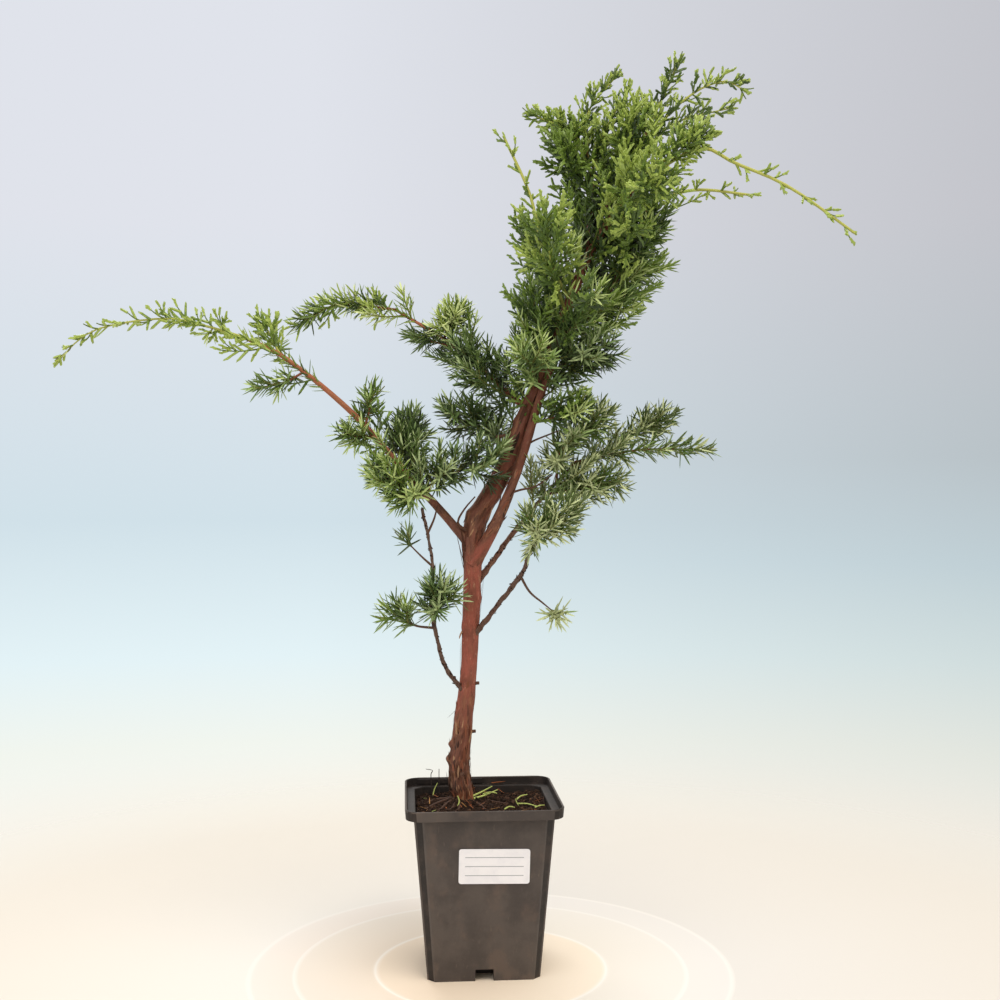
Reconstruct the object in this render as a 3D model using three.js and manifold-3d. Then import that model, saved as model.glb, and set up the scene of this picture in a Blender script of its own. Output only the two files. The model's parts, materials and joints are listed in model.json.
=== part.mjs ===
// A kishu juniper bonsai in its square nursery pot.
// Millimetres, with +Z up, +X to the right and +Y away from the viewer.
// The origin is the centre of the pot's flat underside.

import * as THREE from 'three';
import { mergeVertices } from 'three/addons/utils/BufferGeometryUtils.js';
import Module from 'manifold-3d';

const wasm = await Module();
wasm.setup();

// Gap that is left between two neighbouring solids.
const clearance = 0.3;

// Square plastic nursery pot.
const pot = {
  wall: 1.2,
  foot: { width: 64.4, corner: 4.5 },
  body: { width: 80, corner: 5.8, height: 93.2 },
  rim: { width: 90, corner: 9, height: 99, cornerSteps: 4, drop: 0.6, taper: 0.8, mouth: 0.4 },
  ledgeHeight: 94.6,
  drain: { width: 10.3, height: 6.6, depth: 12, slotWidth: 6, slotDepth: 4 },
};

// Paper label on the front face.
const label = { width: 40, height: 20, thickness: 0.3, corner: 1.5, x: 5.2, z: 66.4, turn: -1 };

// Soil in the pot, a little higher round the foot of the trunk.
const soil = {
  edgeHeight: 89.5,
  mound: { foot: 87.5, shoulder: 91.5, radii: [24, 22], sides: 24 },
  seat: { height: 93, radius: 15 },
};

// Centre line of the trunk, from under the soil to its tip: x, y, z and radius at each bend.
const trunkStations = [
  [-11, 11, 86, 10.5],
  [-11, 11, 95, 7.6],
  [-12, 10, 104, 6.4],
  [-12, 10, 118, 6.1],
  [-10, 8, 141, 5.5],
  [-7, 6, 172, 4.8],
  [-5, 3, 226, 5.3],
  [-4, 2, 256, 6.1],
  [12, 2, 287, 5.5],
  [28, 0, 327, 4.6],
  [43, -3, 364, 3.9],
  [61, -1, 411, 2.6],
  [78, -4, 443, 1.9],
  [102, -4, 499, 0.9],
];

// Roots swell the foot of the trunk in a few broad lobes.
const rootFlare = { lobes: 5, depth: 0.16, height: 16, turn: 0.6 };

// Facets along and round the trunk, the boughs, and the stems and shoots of the masses.
const trunkFacets = { steps: 39, sides: 9 };
const boughSides = 6;
const coreSides = 3;
const stepsPerBend = 3;
const boughTaper = 0.8;

// Each bough leaves its parent at a share of the parent's length and runs through the points of its route.
const boughs = [
  { name: 'leader_right', from: 'trunk', at: 0.48, radii: [4.2, 1.1],
    route: [[7.2, -6, 256], [21.5, -6, 290.5], [45, -6, 360], [80, 8, 402], [106, 0, 460]] },
  { name: 'leader_left', from: 'trunk', at: 0.83, radii: [2.6, 0.9],
    route: [[66, 9, 435], [68, 13, 460], [64, 12, 484]] },
  { name: 'bough_left_long', from: 'trunk', at: 0.505, radii: [2.9, 1.0],
    route: [[-25, -4, 267], [-41, -12, 284], [-75, -14, 322], [-113, -16, 353], [-137, -15, 365]] },
  { name: 'bough_left_high', from: 'trunk', at: 0.69, radii: [2.4, 0.9],
    route: [[13, 9, 339], [-16, 27, 367], [-51, 34, 389]] },
  { name: 'bough_right_low', from: 'trunk', at: 0.41, radii: [2.0, 0.9],
    route: [[21, -16, 227], [26, -22, 240], [33, -27, 251]] },
  { name: 'bough_right_high', from: 'trunk', at: 0.45, radii: [2.2, 0.9],
    route: [[20, 11, 252], [35, 14, 270], [58, 16, 295]] },
  { name: 'bough_low_left', from: 'trunk', at: 0.35, radii: [1.6, 1.0],
    route: [[-22, -4, 176], [-29, -12, 208], [-29, -12, 237], [-35, -11, 267]] },
  { name: 'bough_front', from: 'trunk', at: 0.89, radii: [1.9, 0.9],
    route: [[84, -26, 447], [102, -38, 464]] },
];

// Each mass of foliage stands on one stem, which leaves its limb as a bough does. Reach is how far its
// shoots go from the stem's foot, taper the share of that reach that is lost by the stem's tip, bare the
// share of the stem without shoots, and adult the share of shoots with scale leaves in place of needles.
const masses = [
  { name: 'tip_left', from: 'bough_left_long', at: 1, reach: 14, taper: 0.75,
    shoots: 14, bare: 0.03, adult: 0.85,
    route: [[-158, -16, 371], [-182, -16, 375], [-220, -16, 368], [-241, -16, 350]] },
  { name: 'spray_left_upper', from: 'bough_left_long', at: 0.82, reach: 11, taper: 0.2,
    shoots: 6, bare: 0.1, adult: 0.6,
    route: [[-126, -6, 374]] },
  { name: 'spray_left_lower', from: 'bough_left_long', at: 0.74, reach: 11, taper: 0.2,
    shoots: 5, bare: 0.15, adult: 0.1,
    route: [[-113, -20, 339], [-127, -26, 335]] },
  { name: 'mass_left_peak', from: 'bough_left_long', at: 0.56, reach: 13, taper: 0.3,
    shoots: 5, bare: 0.1, adult: 0.1,
    route: [[-63, -9, 334]] },
  { name: 'mass_left_outer', from: 'bough_left_long', at: 0.53, reach: 14, taper: 0.3,
    shoots: 4, bare: 0.1, adult: 0.1,
    route: [[-77, -27, 308]] },
  { name: 'mass_left_inner', from: 'bough_left_long', at: 0.46, reach: 17, taper: 0,
    shoots: 8, bare: 0.1, adult: 0.1,
    route: [[-41, 4, 310]] },
  { name: 'mass_left_under', from: 'bough_left_long', at: 0.37, reach: 16, taper: 0.1,
    shoots: 9, bare: 0.12, adult: 0,
    route: [[-41, -22, 273], [-57, -28, 286]] },
  { name: 'mass_left_heart', from: 'bough_left_long', at: 0.31, reach: 18, taper: 0,
    shoots: 10, bare: 0.12, adult: 0,
    route: [[-25, -12, 285], [5, -14, 293]] },
  { name: 'tip_left_high', from: 'bough_left_high', at: 1, reach: 14, taper: 0.35,
    shoots: 16, bare: 0.04, adult: 0.2,
    route: [[-66, 36, 391], [-88, 38, 392], [-110, 42, 380]] },
  { name: 'mass_left_high', from: 'bough_left_high', at: 0.72, reach: 15, taper: 0.1,
    shoots: 7, bare: 0.1, adult: 0.1,
    route: [[-14, 22, 381]] },
  { name: 'mass_left_back', from: 'bough_left_high', at: 0.64, reach: 13, taper: 0.3,
    shoots: 4, bare: 0.15, adult: 0,
    route: [[-39, 38, 373]] },
  { name: 'mass_high_heart', from: 'trunk', at: 0.64, reach: 18, taper: 0.1,
    shoots: 10, bare: 0.15, adult: 0,
    route: [[6, 10, 312], [-14, 8, 320]] },
  { name: 'mass_high_inner', from: 'bough_left_high', at: 0.37, reach: 17, taper: 0,
    shoots: 7, bare: 0.15, adult: 0.1,
    route: [[4, 3, 346], [-6, 2, 355]] },
  { name: 'tuft_low_left', from: 'bough_low_left', at: 0.45, reach: 17, taper: 0,
    shoots: 6, bare: 0.25, adult: 0,
    route: [[-26, -17, 208], [-25, -21, 214]] },
  { name: 'tuft_low_side', from: 'bough_low_left', at: 0.42, reach: 15, taper: 0,
    shoots: 3, bare: 0.5, adult: 0,
    route: [[-39, -9, 199], [-47, -10, 204]] },
  { name: 'sprig_low_left', from: 'bough_low_left', at: 0.72, reach: 11, taper: 0,
    shoots: 2, bare: 0.85, adult: 0,
    route: [[-35, -12, 239], [-43, -11, 247]] },
  { name: 'mass_right_low', from: 'bough_right_low', at: 0.98, reach: 20, taper: 0.1,
    shoots: 9, bare: 0.02, adult: 0,
    route: [[29, -36, 253], [43, -34, 261]] },
  { name: 'tuft_right', from: 'bough_right_low', at: 0.35, reach: 15, taper: 0,
    shoots: 1, bare: 0.92, adult: 0,
    route: [[27, -19, 219], [34, -22, 213], [40, -25, 208]] },
  { name: 'mass_right_under', from: 'bough_right_high', at: 0.74, reach: 17, taper: 0.1,
    shoots: 8, bare: 0.12, adult: 0,
    route: [[73, 0, 282]] },
  { name: 'tip_right', from: 'bough_right_high', at: 1, reach: 14, taper: 0.45,
    shoots: 10, bare: 0.1, adult: 0.1,
    route: [[96, 0, 302], [134, -10, 301]] },
  { name: 'mass_right_outer', from: 'bough_right_high', at: 0.92, reach: 15, taper: 0.2,
    shoots: 10, bare: 0.12, adult: 0.1,
    route: [[87, 20, 309], [112, 15, 321]] },
  { name: 'mass_right_inner', from: 'bough_right_high', at: 0.84, reach: 18, taper: 0,
    shoots: 9, bare: 0.12, adult: 0,
    route: [[47, -6, 301], [65, -9, 317]] },
  { name: 'mass_right_upper', from: 'leader_right', at: 0.48, reach: 17, taper: 0.2,
    shoots: 7, bare: 0.12, adult: 0.1,
    route: [[54, -18, 323]] },
  { name: 'crown_foot_left', from: 'trunk', at: 0.71, reach: 17, taper: 0,
    shoots: 6, bare: 0.12, adult: 0.1,
    route: [[27, -30, 351]] },
  { name: 'crown_low_left', from: 'trunk', at: 0.75, reach: 18, taper: 0,
    shoots: 7, bare: 0.12, adult: 0.2,
    route: [[29, -16, 386]] },
  { name: 'crown_low_front', from: 'trunk', at: 0.78, reach: 16, taper: 0,
    shoots: 6, bare: 0.12, adult: 0.2,
    route: [[57, -40, 385]] },
  { name: 'crown_low_back', from: 'trunk', at: 0.76, reach: 24, taper: 0,
    shoots: 7, bare: 0.12, adult: 0.1,
    route: [[44, 37, 397]] },
  { name: 'crown_low_right', from: 'leader_right', at: 0.56, reach: 18, taper: 0,
    shoots: 8, bare: 0.12, adult: 0.1,
    route: [[63, -21, 357]] },
  { name: 'crown_edge_right', from: 'leader_right', at: 0.68, reach: 17, taper: 0,
    shoots: 7, bare: 0.12, adult: 0.2,
    route: [[80, -5, 388]] },
  { name: 'crown_mid_front', from: 'trunk', at: 0.8, reach: 21, taper: 0,
    shoots: 10, bare: 0.1, adult: 0.6,
    route: [[39, -29, 403], [35, -39, 422]] },
  { name: 'crown_mid_left', from: 'trunk', at: 0.79, reach: 18, taper: 0,
    shoots: 8, bare: 0.3, adult: 0.8,
    route: [[29, 2, 425]] },
  { name: 'shoot_left', from: 'trunk', at: 0.81, reach: 8, taper: 0.3,
    shoots: 6, bare: 0.5, adult: 1,
    route: [[35, -17, 418], [27, -16, 450], [12, -15, 483]] },
  { name: 'crown_mid_right', from: 'leader_right', at: 0.8, reach: 17, taper: 0,
    shoots: 7, bare: 0.12, adult: 0.7,
    route: [[99, -19, 433]] },
  { name: 'crown_front_right', from: 'leader_right', at: 0.86, reach: 16, taper: 0,
    shoots: 6, bare: 0.12, adult: 0.5,
    route: [[81, -40, 427]] },
  { name: 'crown_back_right', from: 'leader_right', at: 0.76, reach: 23, taper: 0,
    shoots: 7, bare: 0.12, adult: 0.3,
    route: [[99, 35, 417]] },
  { name: 'spray_front_upper', from: 'bough_front', at: 0.97, reach: 16, taper: 0.3,
    shoots: 9, bare: 0.04, adult: 1,
    route: [[119, -45, 476]] },
  { name: 'shoot_drooping', from: 'bough_front', at: 0.83, reach: 8, taper: 0.3,
    shoots: 8, bare: 0.35, adult: 1,
    route: [[121, -44, 470], [140, -48, 461], [170, -52, 447], [206, -56, 421]] },
  { name: 'spray_front_low', from: 'bough_front', at: 0.59, reach: 20, taper: 0,
    shoots: 6, bare: 0.1, adult: 0.6,
    route: [[90, -55, 446]] },
  { name: 'shoot_right', from: 'leader_right', at: 0.97, reach: 7, taper: 0.3,
    shoots: 6, bare: 0.3, adult: 1,
    route: [[128, -6, 456], [161, -8, 453]] },
  { name: 'crown_back_mid', from: 'trunk', at: 0.86, reach: 25, taper: 0,
    shoots: 8, bare: 0.12, adult: 0.4,
    route: [[84, 38, 467]] },
  { name: 'crown_top_left', from: 'leader_left', at: 1, reach: 16, taper: 0.6,
    shoots: 12, bare: 0.03, adult: 1,
    route: [[51, -3, 491], [29, -2, 500]] },
  { name: 'crown_side_left', from: 'leader_left', at: 0.62, reach: 17, taper: 0,
    shoots: 9, bare: 0.1, adult: 1,
    route: [[48, -9, 474]] },
  { name: 'shoot_peak_back', from: 'leader_left', at: 0.9, reach: 14, taper: 0.6,
    shoots: 11, bare: 0.03, adult: 1,
    route: [[66, 14, 507], [83, 14, 529]] },
  { name: 'shoot_peak_front', from: 'leader_left', at: 0.78, reach: 13, taper: 0.6,
    shoots: 9, bare: 0.05, adult: 1,
    route: [[73, -9, 490], [86, -13, 512]] },
  { name: 'crown_top_mid', from: 'trunk', at: 0.94, reach: 19, taper: 0,
    shoots: 10, bare: 0.1, adult: 1,
    route: [[86, -18, 489]] },
  { name: 'shoot_top', from: 'trunk', at: 1, reach: 13, taper: 0.65,
    shoots: 8, bare: 0.04, adult: 1,
    route: [[118, -5, 534]] },
  { name: 'shoot_top_right', from: 'trunk', at: 0.98, reach: 12, taper: 0.45,
    shoots: 8, bare: 0.1, adult: 1,
    route: [[120, -13, 508], [140, -17, 517], [153, -19, 512]] },
  { name: 'shoot_edge_right', from: 'trunk', at: 0.97, reach: 12, taper: 0.45,
    shoots: 7, bare: 0.2, adult: 1,
    route: [[119, 7, 500], [153, 5, 509]] },
];

// How stems and shoots grow on a mass, and the needles of its young and its adult shoots.
// Angles are in degrees.
const growth = {
  firstSeed: 101,
  seedStep: 17,
  stemRadii: [1.3, 0.5],
  spineSpacing: 4,
  spread: [75, 30],
  spreadJitter: 16,
  turnJitter: 0.7,
  lift: 0.12,
  fullLength: [0.85, 1.1],
  leastSine: 0.6,
  lengths: [1, 0.75, 0.5],
  middle: 0.6,
  edge: 1.1,
  border: 0.05,
  coreSpan: [0.14, 0.9],
  coreTaper: 0.4,
  whorlSpacing: 8.4,
  twist: 30,
  young: { radius: 1.2, needleLength: 10, needleAngle: 46 },
  adult: { radius: 1.1, needleLength: 6, needleAngle: 36 },
};
const goldenAngle = Math.PI * (3 - Math.sqrt(5));

// Spacing of the balls that stand for a limb, shoot or needle where touching is tested.
const ballSpacing = 1.5;

const right = new THREE.Vector3(1, 0, 0);
const back = new THREE.Vector3(0, 1, 0);
const up = new THREE.Vector3(0, 0, 1);

// A repeatable stream of random numbers from 0 to 1.
function randomStream(seed) {
  let state = seed >>> 0;
  return () => {
    state = (state + 0x6d2b79f5) >>> 0;
    let mixed = Math.imul(state ^ (state >>> 15), state | 1);
    mixed ^= mixed + Math.imul(mixed ^ (mixed >>> 7), mixed | 61);
    return ((mixed ^ (mixed >>> 14)) >>> 0) / 4294967296;
  };
}

// A direction square to the given one, level where it can be.
function sideOf(along) {
  const reference = Math.abs(along.z) > 0.9 ? back : up;
  return along.clone().cross(reference).normalize();
}

function ringAround(centre, normal, across, radiusAt, sides) {
  return Array.from({ length: sides }, (_, i) => {
    const angle = (i / sides) * 2 * Math.PI;
    const radius = radiusAt(angle);
    return centre.clone()
      .addScaledVector(normal, Math.cos(angle) * radius)
      .addScaledVector(across, Math.sin(angle) * radius);
  });
}

function meshGeometry(points, faces) {
  const geometry = new THREE.BufferGeometry();
  const numbers = points.flatMap((p) => [p.x, p.y, p.z]);
  geometry.setAttribute('position', new THREE.Float32BufferAttribute(numbers, 3));
  geometry.setIndex(faces);
  return geometry;
}

// A closed solid through rings of equally many points, with a flat face on each end.
function loft(rings) {
  const count = rings[0].length;
  const last = (rings.length - 1) * count;
  const faces = [];
  for (let start = 0; start < last; start += count) {
    for (let i = 0; i < count; i++) {
      const a = start + i;
      const b = start + ((i + 1) % count);
      faces.push(a, b, b + count, a, b + count, a + count);
    }
  }
  for (let i = 1; i + 1 < count; i++) {
    faces.push(0, i + 1, i, last, last + i, last + i + 1);
  }
  return meshGeometry(rings.flat(), faces);
}

// A tapering tube along a curve.
function tube(curve, radiusAt, steps, sides) {
  const rings = [];
  let normal = sideOf(curve.getTangent(0));
  for (let i = 0; i <= steps; i++) {
    const t = i / steps;
    const along = curve.getTangent(t);
    normal = normal.clone().addScaledVector(along, -normal.dot(along)).normalize();
    const across = along.clone().cross(normal);
    rings.push(ringAround(curve.getPoint(t), normal, across, (angle) => radiusAt(t, angle), sides));
  }
  return loft(rings);
}

// A square outline with cut or rounded corners, level at height z.
function squareRing(width, corner, z, cornerSteps = 1) {
  const inset = width / 2 - corner;
  const points = [];
  for (let quarter = 0; quarter < 4; quarter++) {
    const start = (quarter * Math.PI) / 2;
    const centre = new THREE.Vector2(inset, inset).rotateAround(new THREE.Vector2(), start);
    for (let i = 0; i <= cornerSteps; i++) {
      const angle = start + (i / cornerSteps) * (Math.PI / 2);
      const x = centre.x + corner * Math.cos(angle);
      const y = centre.y + corner * Math.sin(angle);
      points.push(new THREE.Vector3(x, y, z));
    }
  }
  return points;
}

function toSolid(geometry) {
  const bare = geometry.clone();
  bare.deleteAttribute('normal');
  bare.deleteAttribute('uv');
  const merged = mergeVertices(bare, 1e-4);
  return new wasm.Manifold(new wasm.Mesh({
    numProp: 3,
    vertProperties: Float32Array.from(merged.attributes.position.array),
    triVerts: Uint32Array.from(merged.index.array),
  }));
}

// The geometry of a solid, without loose scraps and sealed hollows.
function toGeometry(solid) {
  const pieces = solid.decompose().sort((a, b) => b.volume() - a.volume());
  const mesh = pieces[0].getMesh();
  const geometry = new THREE.BufferGeometry();
  geometry.setAttribute('position', new THREE.BufferAttribute(Float32Array.from(mesh.vertProperties), 3));
  geometry.setIndex(new THREE.BufferAttribute(Uint32Array.from(mesh.triVerts), 1));
  geometry.computeVertexNormals();
  return geometry;
}

// Half the pot body's width at height z, on its outer face.
function potHalfWidth(z) {
  return THREE.MathUtils.lerp(pot.foot.width, pot.body.width, z / pot.body.height) / 2;
}

function potCorner(z) {
  return THREE.MathUtils.lerp(pot.foot.corner, pot.body.corner, z / pot.body.height);
}

// The pot body's outline at height z, moved in by the given distance.
function potRing(z, inset) {
  return squareRing(2 * (potHalfWidth(z) - inset), potCorner(z), z);
}

// A box at the drain of one side of the pot, wider and higher than the notch by the given margin.
function drainBox(quarter, margin, below) {
  const { width, height, depth } = pot.drain;
  const reach = depth + margin;
  const outer = potHalfWidth(0) + 2 * pot.wall;
  const length = outer - potHalfWidth(0) + reach;
  const box = new THREE.BoxGeometry(width + 2 * margin, length, height + margin + below);
  box.translate(0, length / 2 - outer, (height + margin - below) / 2);
  return toSolid(box.rotateZ((quarter * Math.PI) / 2));
}

function makePot() {
  const { rim, body, wall, ledgeHeight, drain } = pot;
  const outer = toSolid(loft([potRing(0, 0), potRing(body.height, 0)])).add(toSolid(loft([
    squareRing(rim.width - rim.taper, rim.corner, body.height - rim.drop, rim.cornerSteps),
    squareRing(rim.width, rim.corner, rim.height, rim.cornerSteps),
  ])));
  const hollow = toSolid(loft([potRing(wall, wall), potRing(ledgeHeight, wall)])).add(toSolid(loft([
    squareRing(rim.width - 2 * wall - rim.taper, rim.corner - wall, ledgeHeight, rim.cornerSteps),
    squareRing(rim.width - 2 * wall + rim.mouth, rim.corner - wall, rim.height + wall, rim.cornerSteps),
  ])));
  let solid = outer.subtract(hollow);
  for (let quarter = 0; quarter < 4; quarter++) {
    const housing = drainBox(quarter, wall, 0).intersect(outer);
    const slotY = -potHalfWidth(0) + drain.depth / 2 + wall;
    const slot = new THREE.BoxGeometry(drain.slotWidth, drain.slotDepth, 4 * wall)
      .translate(0, slotY, drain.height)
      .rotateZ((quarter * Math.PI) / 2);
    solid = solid.add(housing).subtract(drainBox(quarter, 0, 1)).subtract(toSolid(slot));
  }
  return toGeometry(solid);
}

// Soil fills the pot, clear of its walls and drains, with a flat seat under the trunk.
function makeSoil() {
  const inset = pot.wall + clearance;
  const [trunkX, trunkY] = trunkStations[0];
  const body = toSolid(loft([potRing(inset, inset), potRing(soil.edgeHeight, inset)]));
  const circle = (radius, z) => {
    const centre = new THREE.Vector3(trunkX, trunkY, z);
    return ringAround(centre, right, back, () => radius, soil.mound.sides);
  };
  const mound = toSolid(loft([
    circle(soil.mound.radii[0], soil.mound.foot),
    circle(soil.mound.radii[1], soil.mound.shoulder),
    circle(soil.seat.radius, soil.seat.height),
  ]));
  let solid = body.add(mound);
  for (let quarter = 0; quarter < 4; quarter++) {
    solid = solid.subtract(drainBox(quarter, pot.wall + clearance, 1));
  }
  return toGeometry(solid);
}

function makeLabel() {
  const lean = Math.atan2(pot.body.width - pot.foot.width, 2 * pot.body.height);
  const outline = new THREE.Shape();
  const halfWidth = label.width / 2;
  const halfHeight = label.height / 2;
  const { corner } = label;
  outline.absarc(halfWidth - corner, halfHeight - corner, corner, 0, Math.PI / 2);
  outline.absarc(corner - halfWidth, halfHeight - corner, corner, Math.PI / 2, Math.PI);
  outline.absarc(corner - halfWidth, corner - halfHeight, corner, Math.PI, 1.5 * Math.PI);
  outline.absarc(halfWidth - corner, corner - halfHeight, corner, 1.5 * Math.PI, 2 * Math.PI);
  const geometry = new THREE.ExtrudeGeometry(outline, {
    depth: label.thickness,
    bevelEnabled: false,
    curveSegments: 4,
  });
  geometry.rotateZ(THREE.MathUtils.degToRad(label.turn));
  geometry.rotateX(Math.PI / 2 + lean);
  const faceY = -potHalfWidth(label.z) - clearance;
  geometry.translate(label.x, faceY, label.z);
  return toGeometry(toSolid(geometry));
}

// Limbs by name: their centre line and their radius at a share of their length.
const limbs = new Map();

function curveThrough(points) {
  const vectors = points.map(([x, y, z]) => new THREE.Vector3(x, y, z));
  return new THREE.CatmullRomCurve3(vectors, false, 'catmullrom', 0.5);
}

function curveFrom(parent, at, route) {
  const foot = limbs.get(parent).curve.getPoint(at);
  return curveThrough([foot.toArray(), ...route]);
}

function trunkRadius(t) {
  const place = t * (trunkStations.length - 1);
  const below = Math.min(Math.floor(place), trunkStations.length - 2);
  return THREE.MathUtils.lerp(trunkStations[below][3], trunkStations[below + 1][3], place - below);
}

limbs.set('trunk', { curve: curveThrough(trunkStations), radiusAt: trunkRadius, ...trunkFacets });
for (const { name, from, at, route, radii } of boughs) {
  const curve = curveFrom(from, at, route);
  const radiusAt = (t) => THREE.MathUtils.lerp(radii[0], radii[1], Math.pow(t, boughTaper));
  const steps = stepsPerBend * route.length;
  limbs.set(name, { curve, radiusAt, from, steps, sides: boughSides });
}

// A limb's solid, grown all round by the given margin.
function limbSolid(name, margin = 0) {
  const { curve, radiusAt, steps, sides } = limbs.get(name);
  const lobed = (t, angle) => {
    const height = curve.getPoint(t).z - soil.seat.height;
    const swell = name === 'trunk' ? Math.exp(-Math.max(height, 0) / rootFlare.height) : 0;
    const lobe = rootFlare.depth * swell * Math.cos(rootFlare.lobes * angle + rootFlare.turn);
    return radiusAt(t) * (1 + lobe) + margin;
  };
  return toSolid(tube(curve, lobed, steps, sides));
}

function makeTrunk() {
  const ground = soil.seat.height + clearance;
  const below = new THREE.BoxGeometry(pot.body.width, pot.body.width, ground).translate(0, 0, ground / 2);
  return toGeometry(limbSolid('trunk').subtract(toSolid(below)));
}

function makeBough(name) {
  return toGeometry(limbSolid(name).subtract(limbSolid(limbs.get(name).from, clearance)));
}

// Balls that fill a run from foot to tip, to test what it would touch.
function ballsAlong(pointAt, radiusAt, length, owner) {
  const count = Math.ceil(length / ballSpacing);
  return Array.from({ length: count + 1 }, (_, i) => {
    const t = i / count;
    return { centre: pointAt(t), radius: radiusAt(t), owner };
  });
}

function straightBalls(foot, tip, radius, owner) {
  return ballsAlong((t) => foot.clone().lerp(tip, t), () => radius, foot.distanceTo(tip), owner);
}

const taken = [];
for (const [name, { curve, radiusAt }] of limbs) {
  taken.push(...ballsAlong((t) => curve.getPoint(t), radiusAt, curve.getLength(), name));
}

masses.forEach((mass, index) => {
  mass.stem = curveFrom(mass.from, mass.at, mass.route);
  mass.seed = growth.firstSeed + growth.seedStep * index;
  const length = mass.stem.getLength();
  const steps = Math.ceil(length / growth.spineSpacing);
  mass.reachAt = (t) => mass.reach * (1 - mass.taper * t);
  mass.spine = Array.from({ length: steps + 1 }, (_, i) => {
    const share = mass.bare + (1 - mass.bare) * (i / steps);
    return { centre: mass.stem.getPoint(share), reach: mass.reachAt(share) };
  });
  mass.radiusAt = (t) => THREE.MathUtils.lerp(...growth.stemRadii, t);
  taken.push(...ballsAlong((t) => mass.stem.getPoint(t), mass.radiusAt, length, mass.name));
});

// How far out in a mass's space a point lies: 0 on its stem and 1 at its reach.
function outness(point, mass) {
  return Math.min(...mass.spine.map(({ centre, reach }) => centre.distanceTo(point) / reach));
}

function inOwnSpace(point, mass) {
  const own = outness(point, mass);
  return own < growth.edge
    && masses.every((other) => other === mass || outness(point, other) > own + growth.border);
}

function isClear(balls, owner) {
  return balls.every((ball) => taken.every((other) => other.owner === owner
    || other.centre.distanceTo(ball.centre) > other.radius + ball.radius + 2 * clearance));
}

// A direction that leaves the given one by an angle, at a turn round it.
function branchDirection(along, angle, turn) {
  const side = sideOf(along);
  const over = side.clone().cross(along);
  return along.clone().multiplyScalar(Math.cos(angle))
    .addScaledVector(side, Math.sin(angle) * Math.cos(turn))
    .addScaledVector(over, Math.sin(angle) * Math.sin(turn));
}

// The shoots of a mass, set round its stem by the golden angle and bent upward.
function shootsOf(mass) {
  const random = randomStream(mass.seed);
  const shoots = [];
  for (let i = 0; i < mass.shoots; i++) {
    const share = (i + 0.5) / mass.shoots;
    const place = mass.bare + (1 - mass.bare) * share;
    const foot = mass.stem.getPoint(place);
    const along = mass.stem.getTangent(place);
    const turn = i * goldenAngle + (random() - 0.5) * growth.turnJitter;
    const degrees = THREE.MathUtils.lerp(...growth.spread, share) + (random() - 0.5) * growth.spreadJitter;
    const spread = THREE.MathUtils.degToRad(degrees);
    const direction = branchDirection(along, spread, turn).addScaledVector(up, growth.lift).normalize();
    const full = (mass.reachAt(place) * THREE.MathUtils.lerp(...growth.fullLength, random()))
      / Math.max(Math.sin(spread), growth.leastSine);
    const kind = random() < mass.adult ? growth.adult : growth.young;
    const length = growth.lengths.find((part) => {
      const tip = foot.clone().addScaledVector(direction, full * part);
      const middle = foot.clone().lerp(tip, growth.middle);
      return inOwnSpace(tip, mass) && inOwnSpace(middle, mass)
        && isClear(straightBalls(foot, tip, kind.radius, mass.name), mass.name);
    });
    if (length) {
      shoots.push({ foot, tip: foot.clone().addScaledVector(direction, full * length), kind, turn });
    }
  }
  return shoots;
}

// The tip of a needle that stands on a four-sided patch of a shoot's core, or nothing where it has no room.
function needleTip(patch, along, shoot, mass) {
  const { needleLength, needleAngle, radius } = shoot.kind;
  const centre = patch.reduce((sum, p) => sum.add(p), new THREE.Vector3()).divideScalar(patch.length);
  const outward = centre.clone().sub(shoot.foot).projectOnPlane(along).normalize();
  const angle = THREE.MathUtils.degToRad(needleAngle);
  const tip = centre.clone()
    .addScaledVector(along, needleLength * Math.cos(angle))
    .addScaledVector(outward, needleLength * Math.sin(angle));
  const balls = straightBalls(centre, tip, radius / 2, mass.name);
  if (!inOwnSpace(tip, mass) || !isClear(balls, mass.name)) {
    return null;
  }
  taken.push(...balls);
  return tip;
}

// A core pointed at both ends, with a needle on each patch of its sides that has room for one.
function shootGeometry(shoot, mass) {
  const run = shoot.tip.clone().sub(shoot.foot);
  const along = run.clone().normalize();
  const side = sideOf(along);
  const across = along.clone().cross(side);
  const whorls = Math.max(1, Math.round(run.length() / growth.whorlSpacing));
  const points = [shoot.foot];
  for (let ring = 0; ring <= whorls; ring++) {
    const share = THREE.MathUtils.lerp(...growth.coreSpan, ring / whorls);
    const turn = shoot.turn + THREE.MathUtils.degToRad(growth.twist) * ring;
    const normal = side.clone().applyAxisAngle(along, turn);
    const radius = shoot.kind.radius * (1 - growth.coreTaper * share);
    const centre = shoot.foot.clone().addScaledVector(run, share);
    const over = across.clone().applyAxisAngle(along, turn);
    points.push(...ringAround(centre, normal, over, () => radius, coreSides));
  }
  const end = points.push(shoot.tip) - 1;
  const faces = [];
  for (let i = 0; i < coreSides; i++) {
    const next = (i + 1) % coreSides;
    faces.push(0, 1 + next, 1 + i, end, end - coreSides + i, end - coreSides + next);
  }
  for (let ring = 0; ring < whorls; ring++) {
    for (let i = 0; i < coreSides; i++) {
      const a = 1 + coreSides * ring + i;
      const b = 1 + coreSides * ring + ((i + 1) % coreSides);
      const patch = [a, b, b + coreSides, a + coreSides];
      const tip = needleTip(patch.map((index) => points[index]), along, shoot, mass);
      if (tip) {
        const apex = points.push(tip) - 1;
        patch.forEach((corner, j) => faces.push(corner, patch[(j + 1) % 4], apex));
      } else {
        faces.push(patch[0], patch[1], patch[2], patch[0], patch[2], patch[3]);
      }
    }
  }
  return meshGeometry(points, faces);
}

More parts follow.
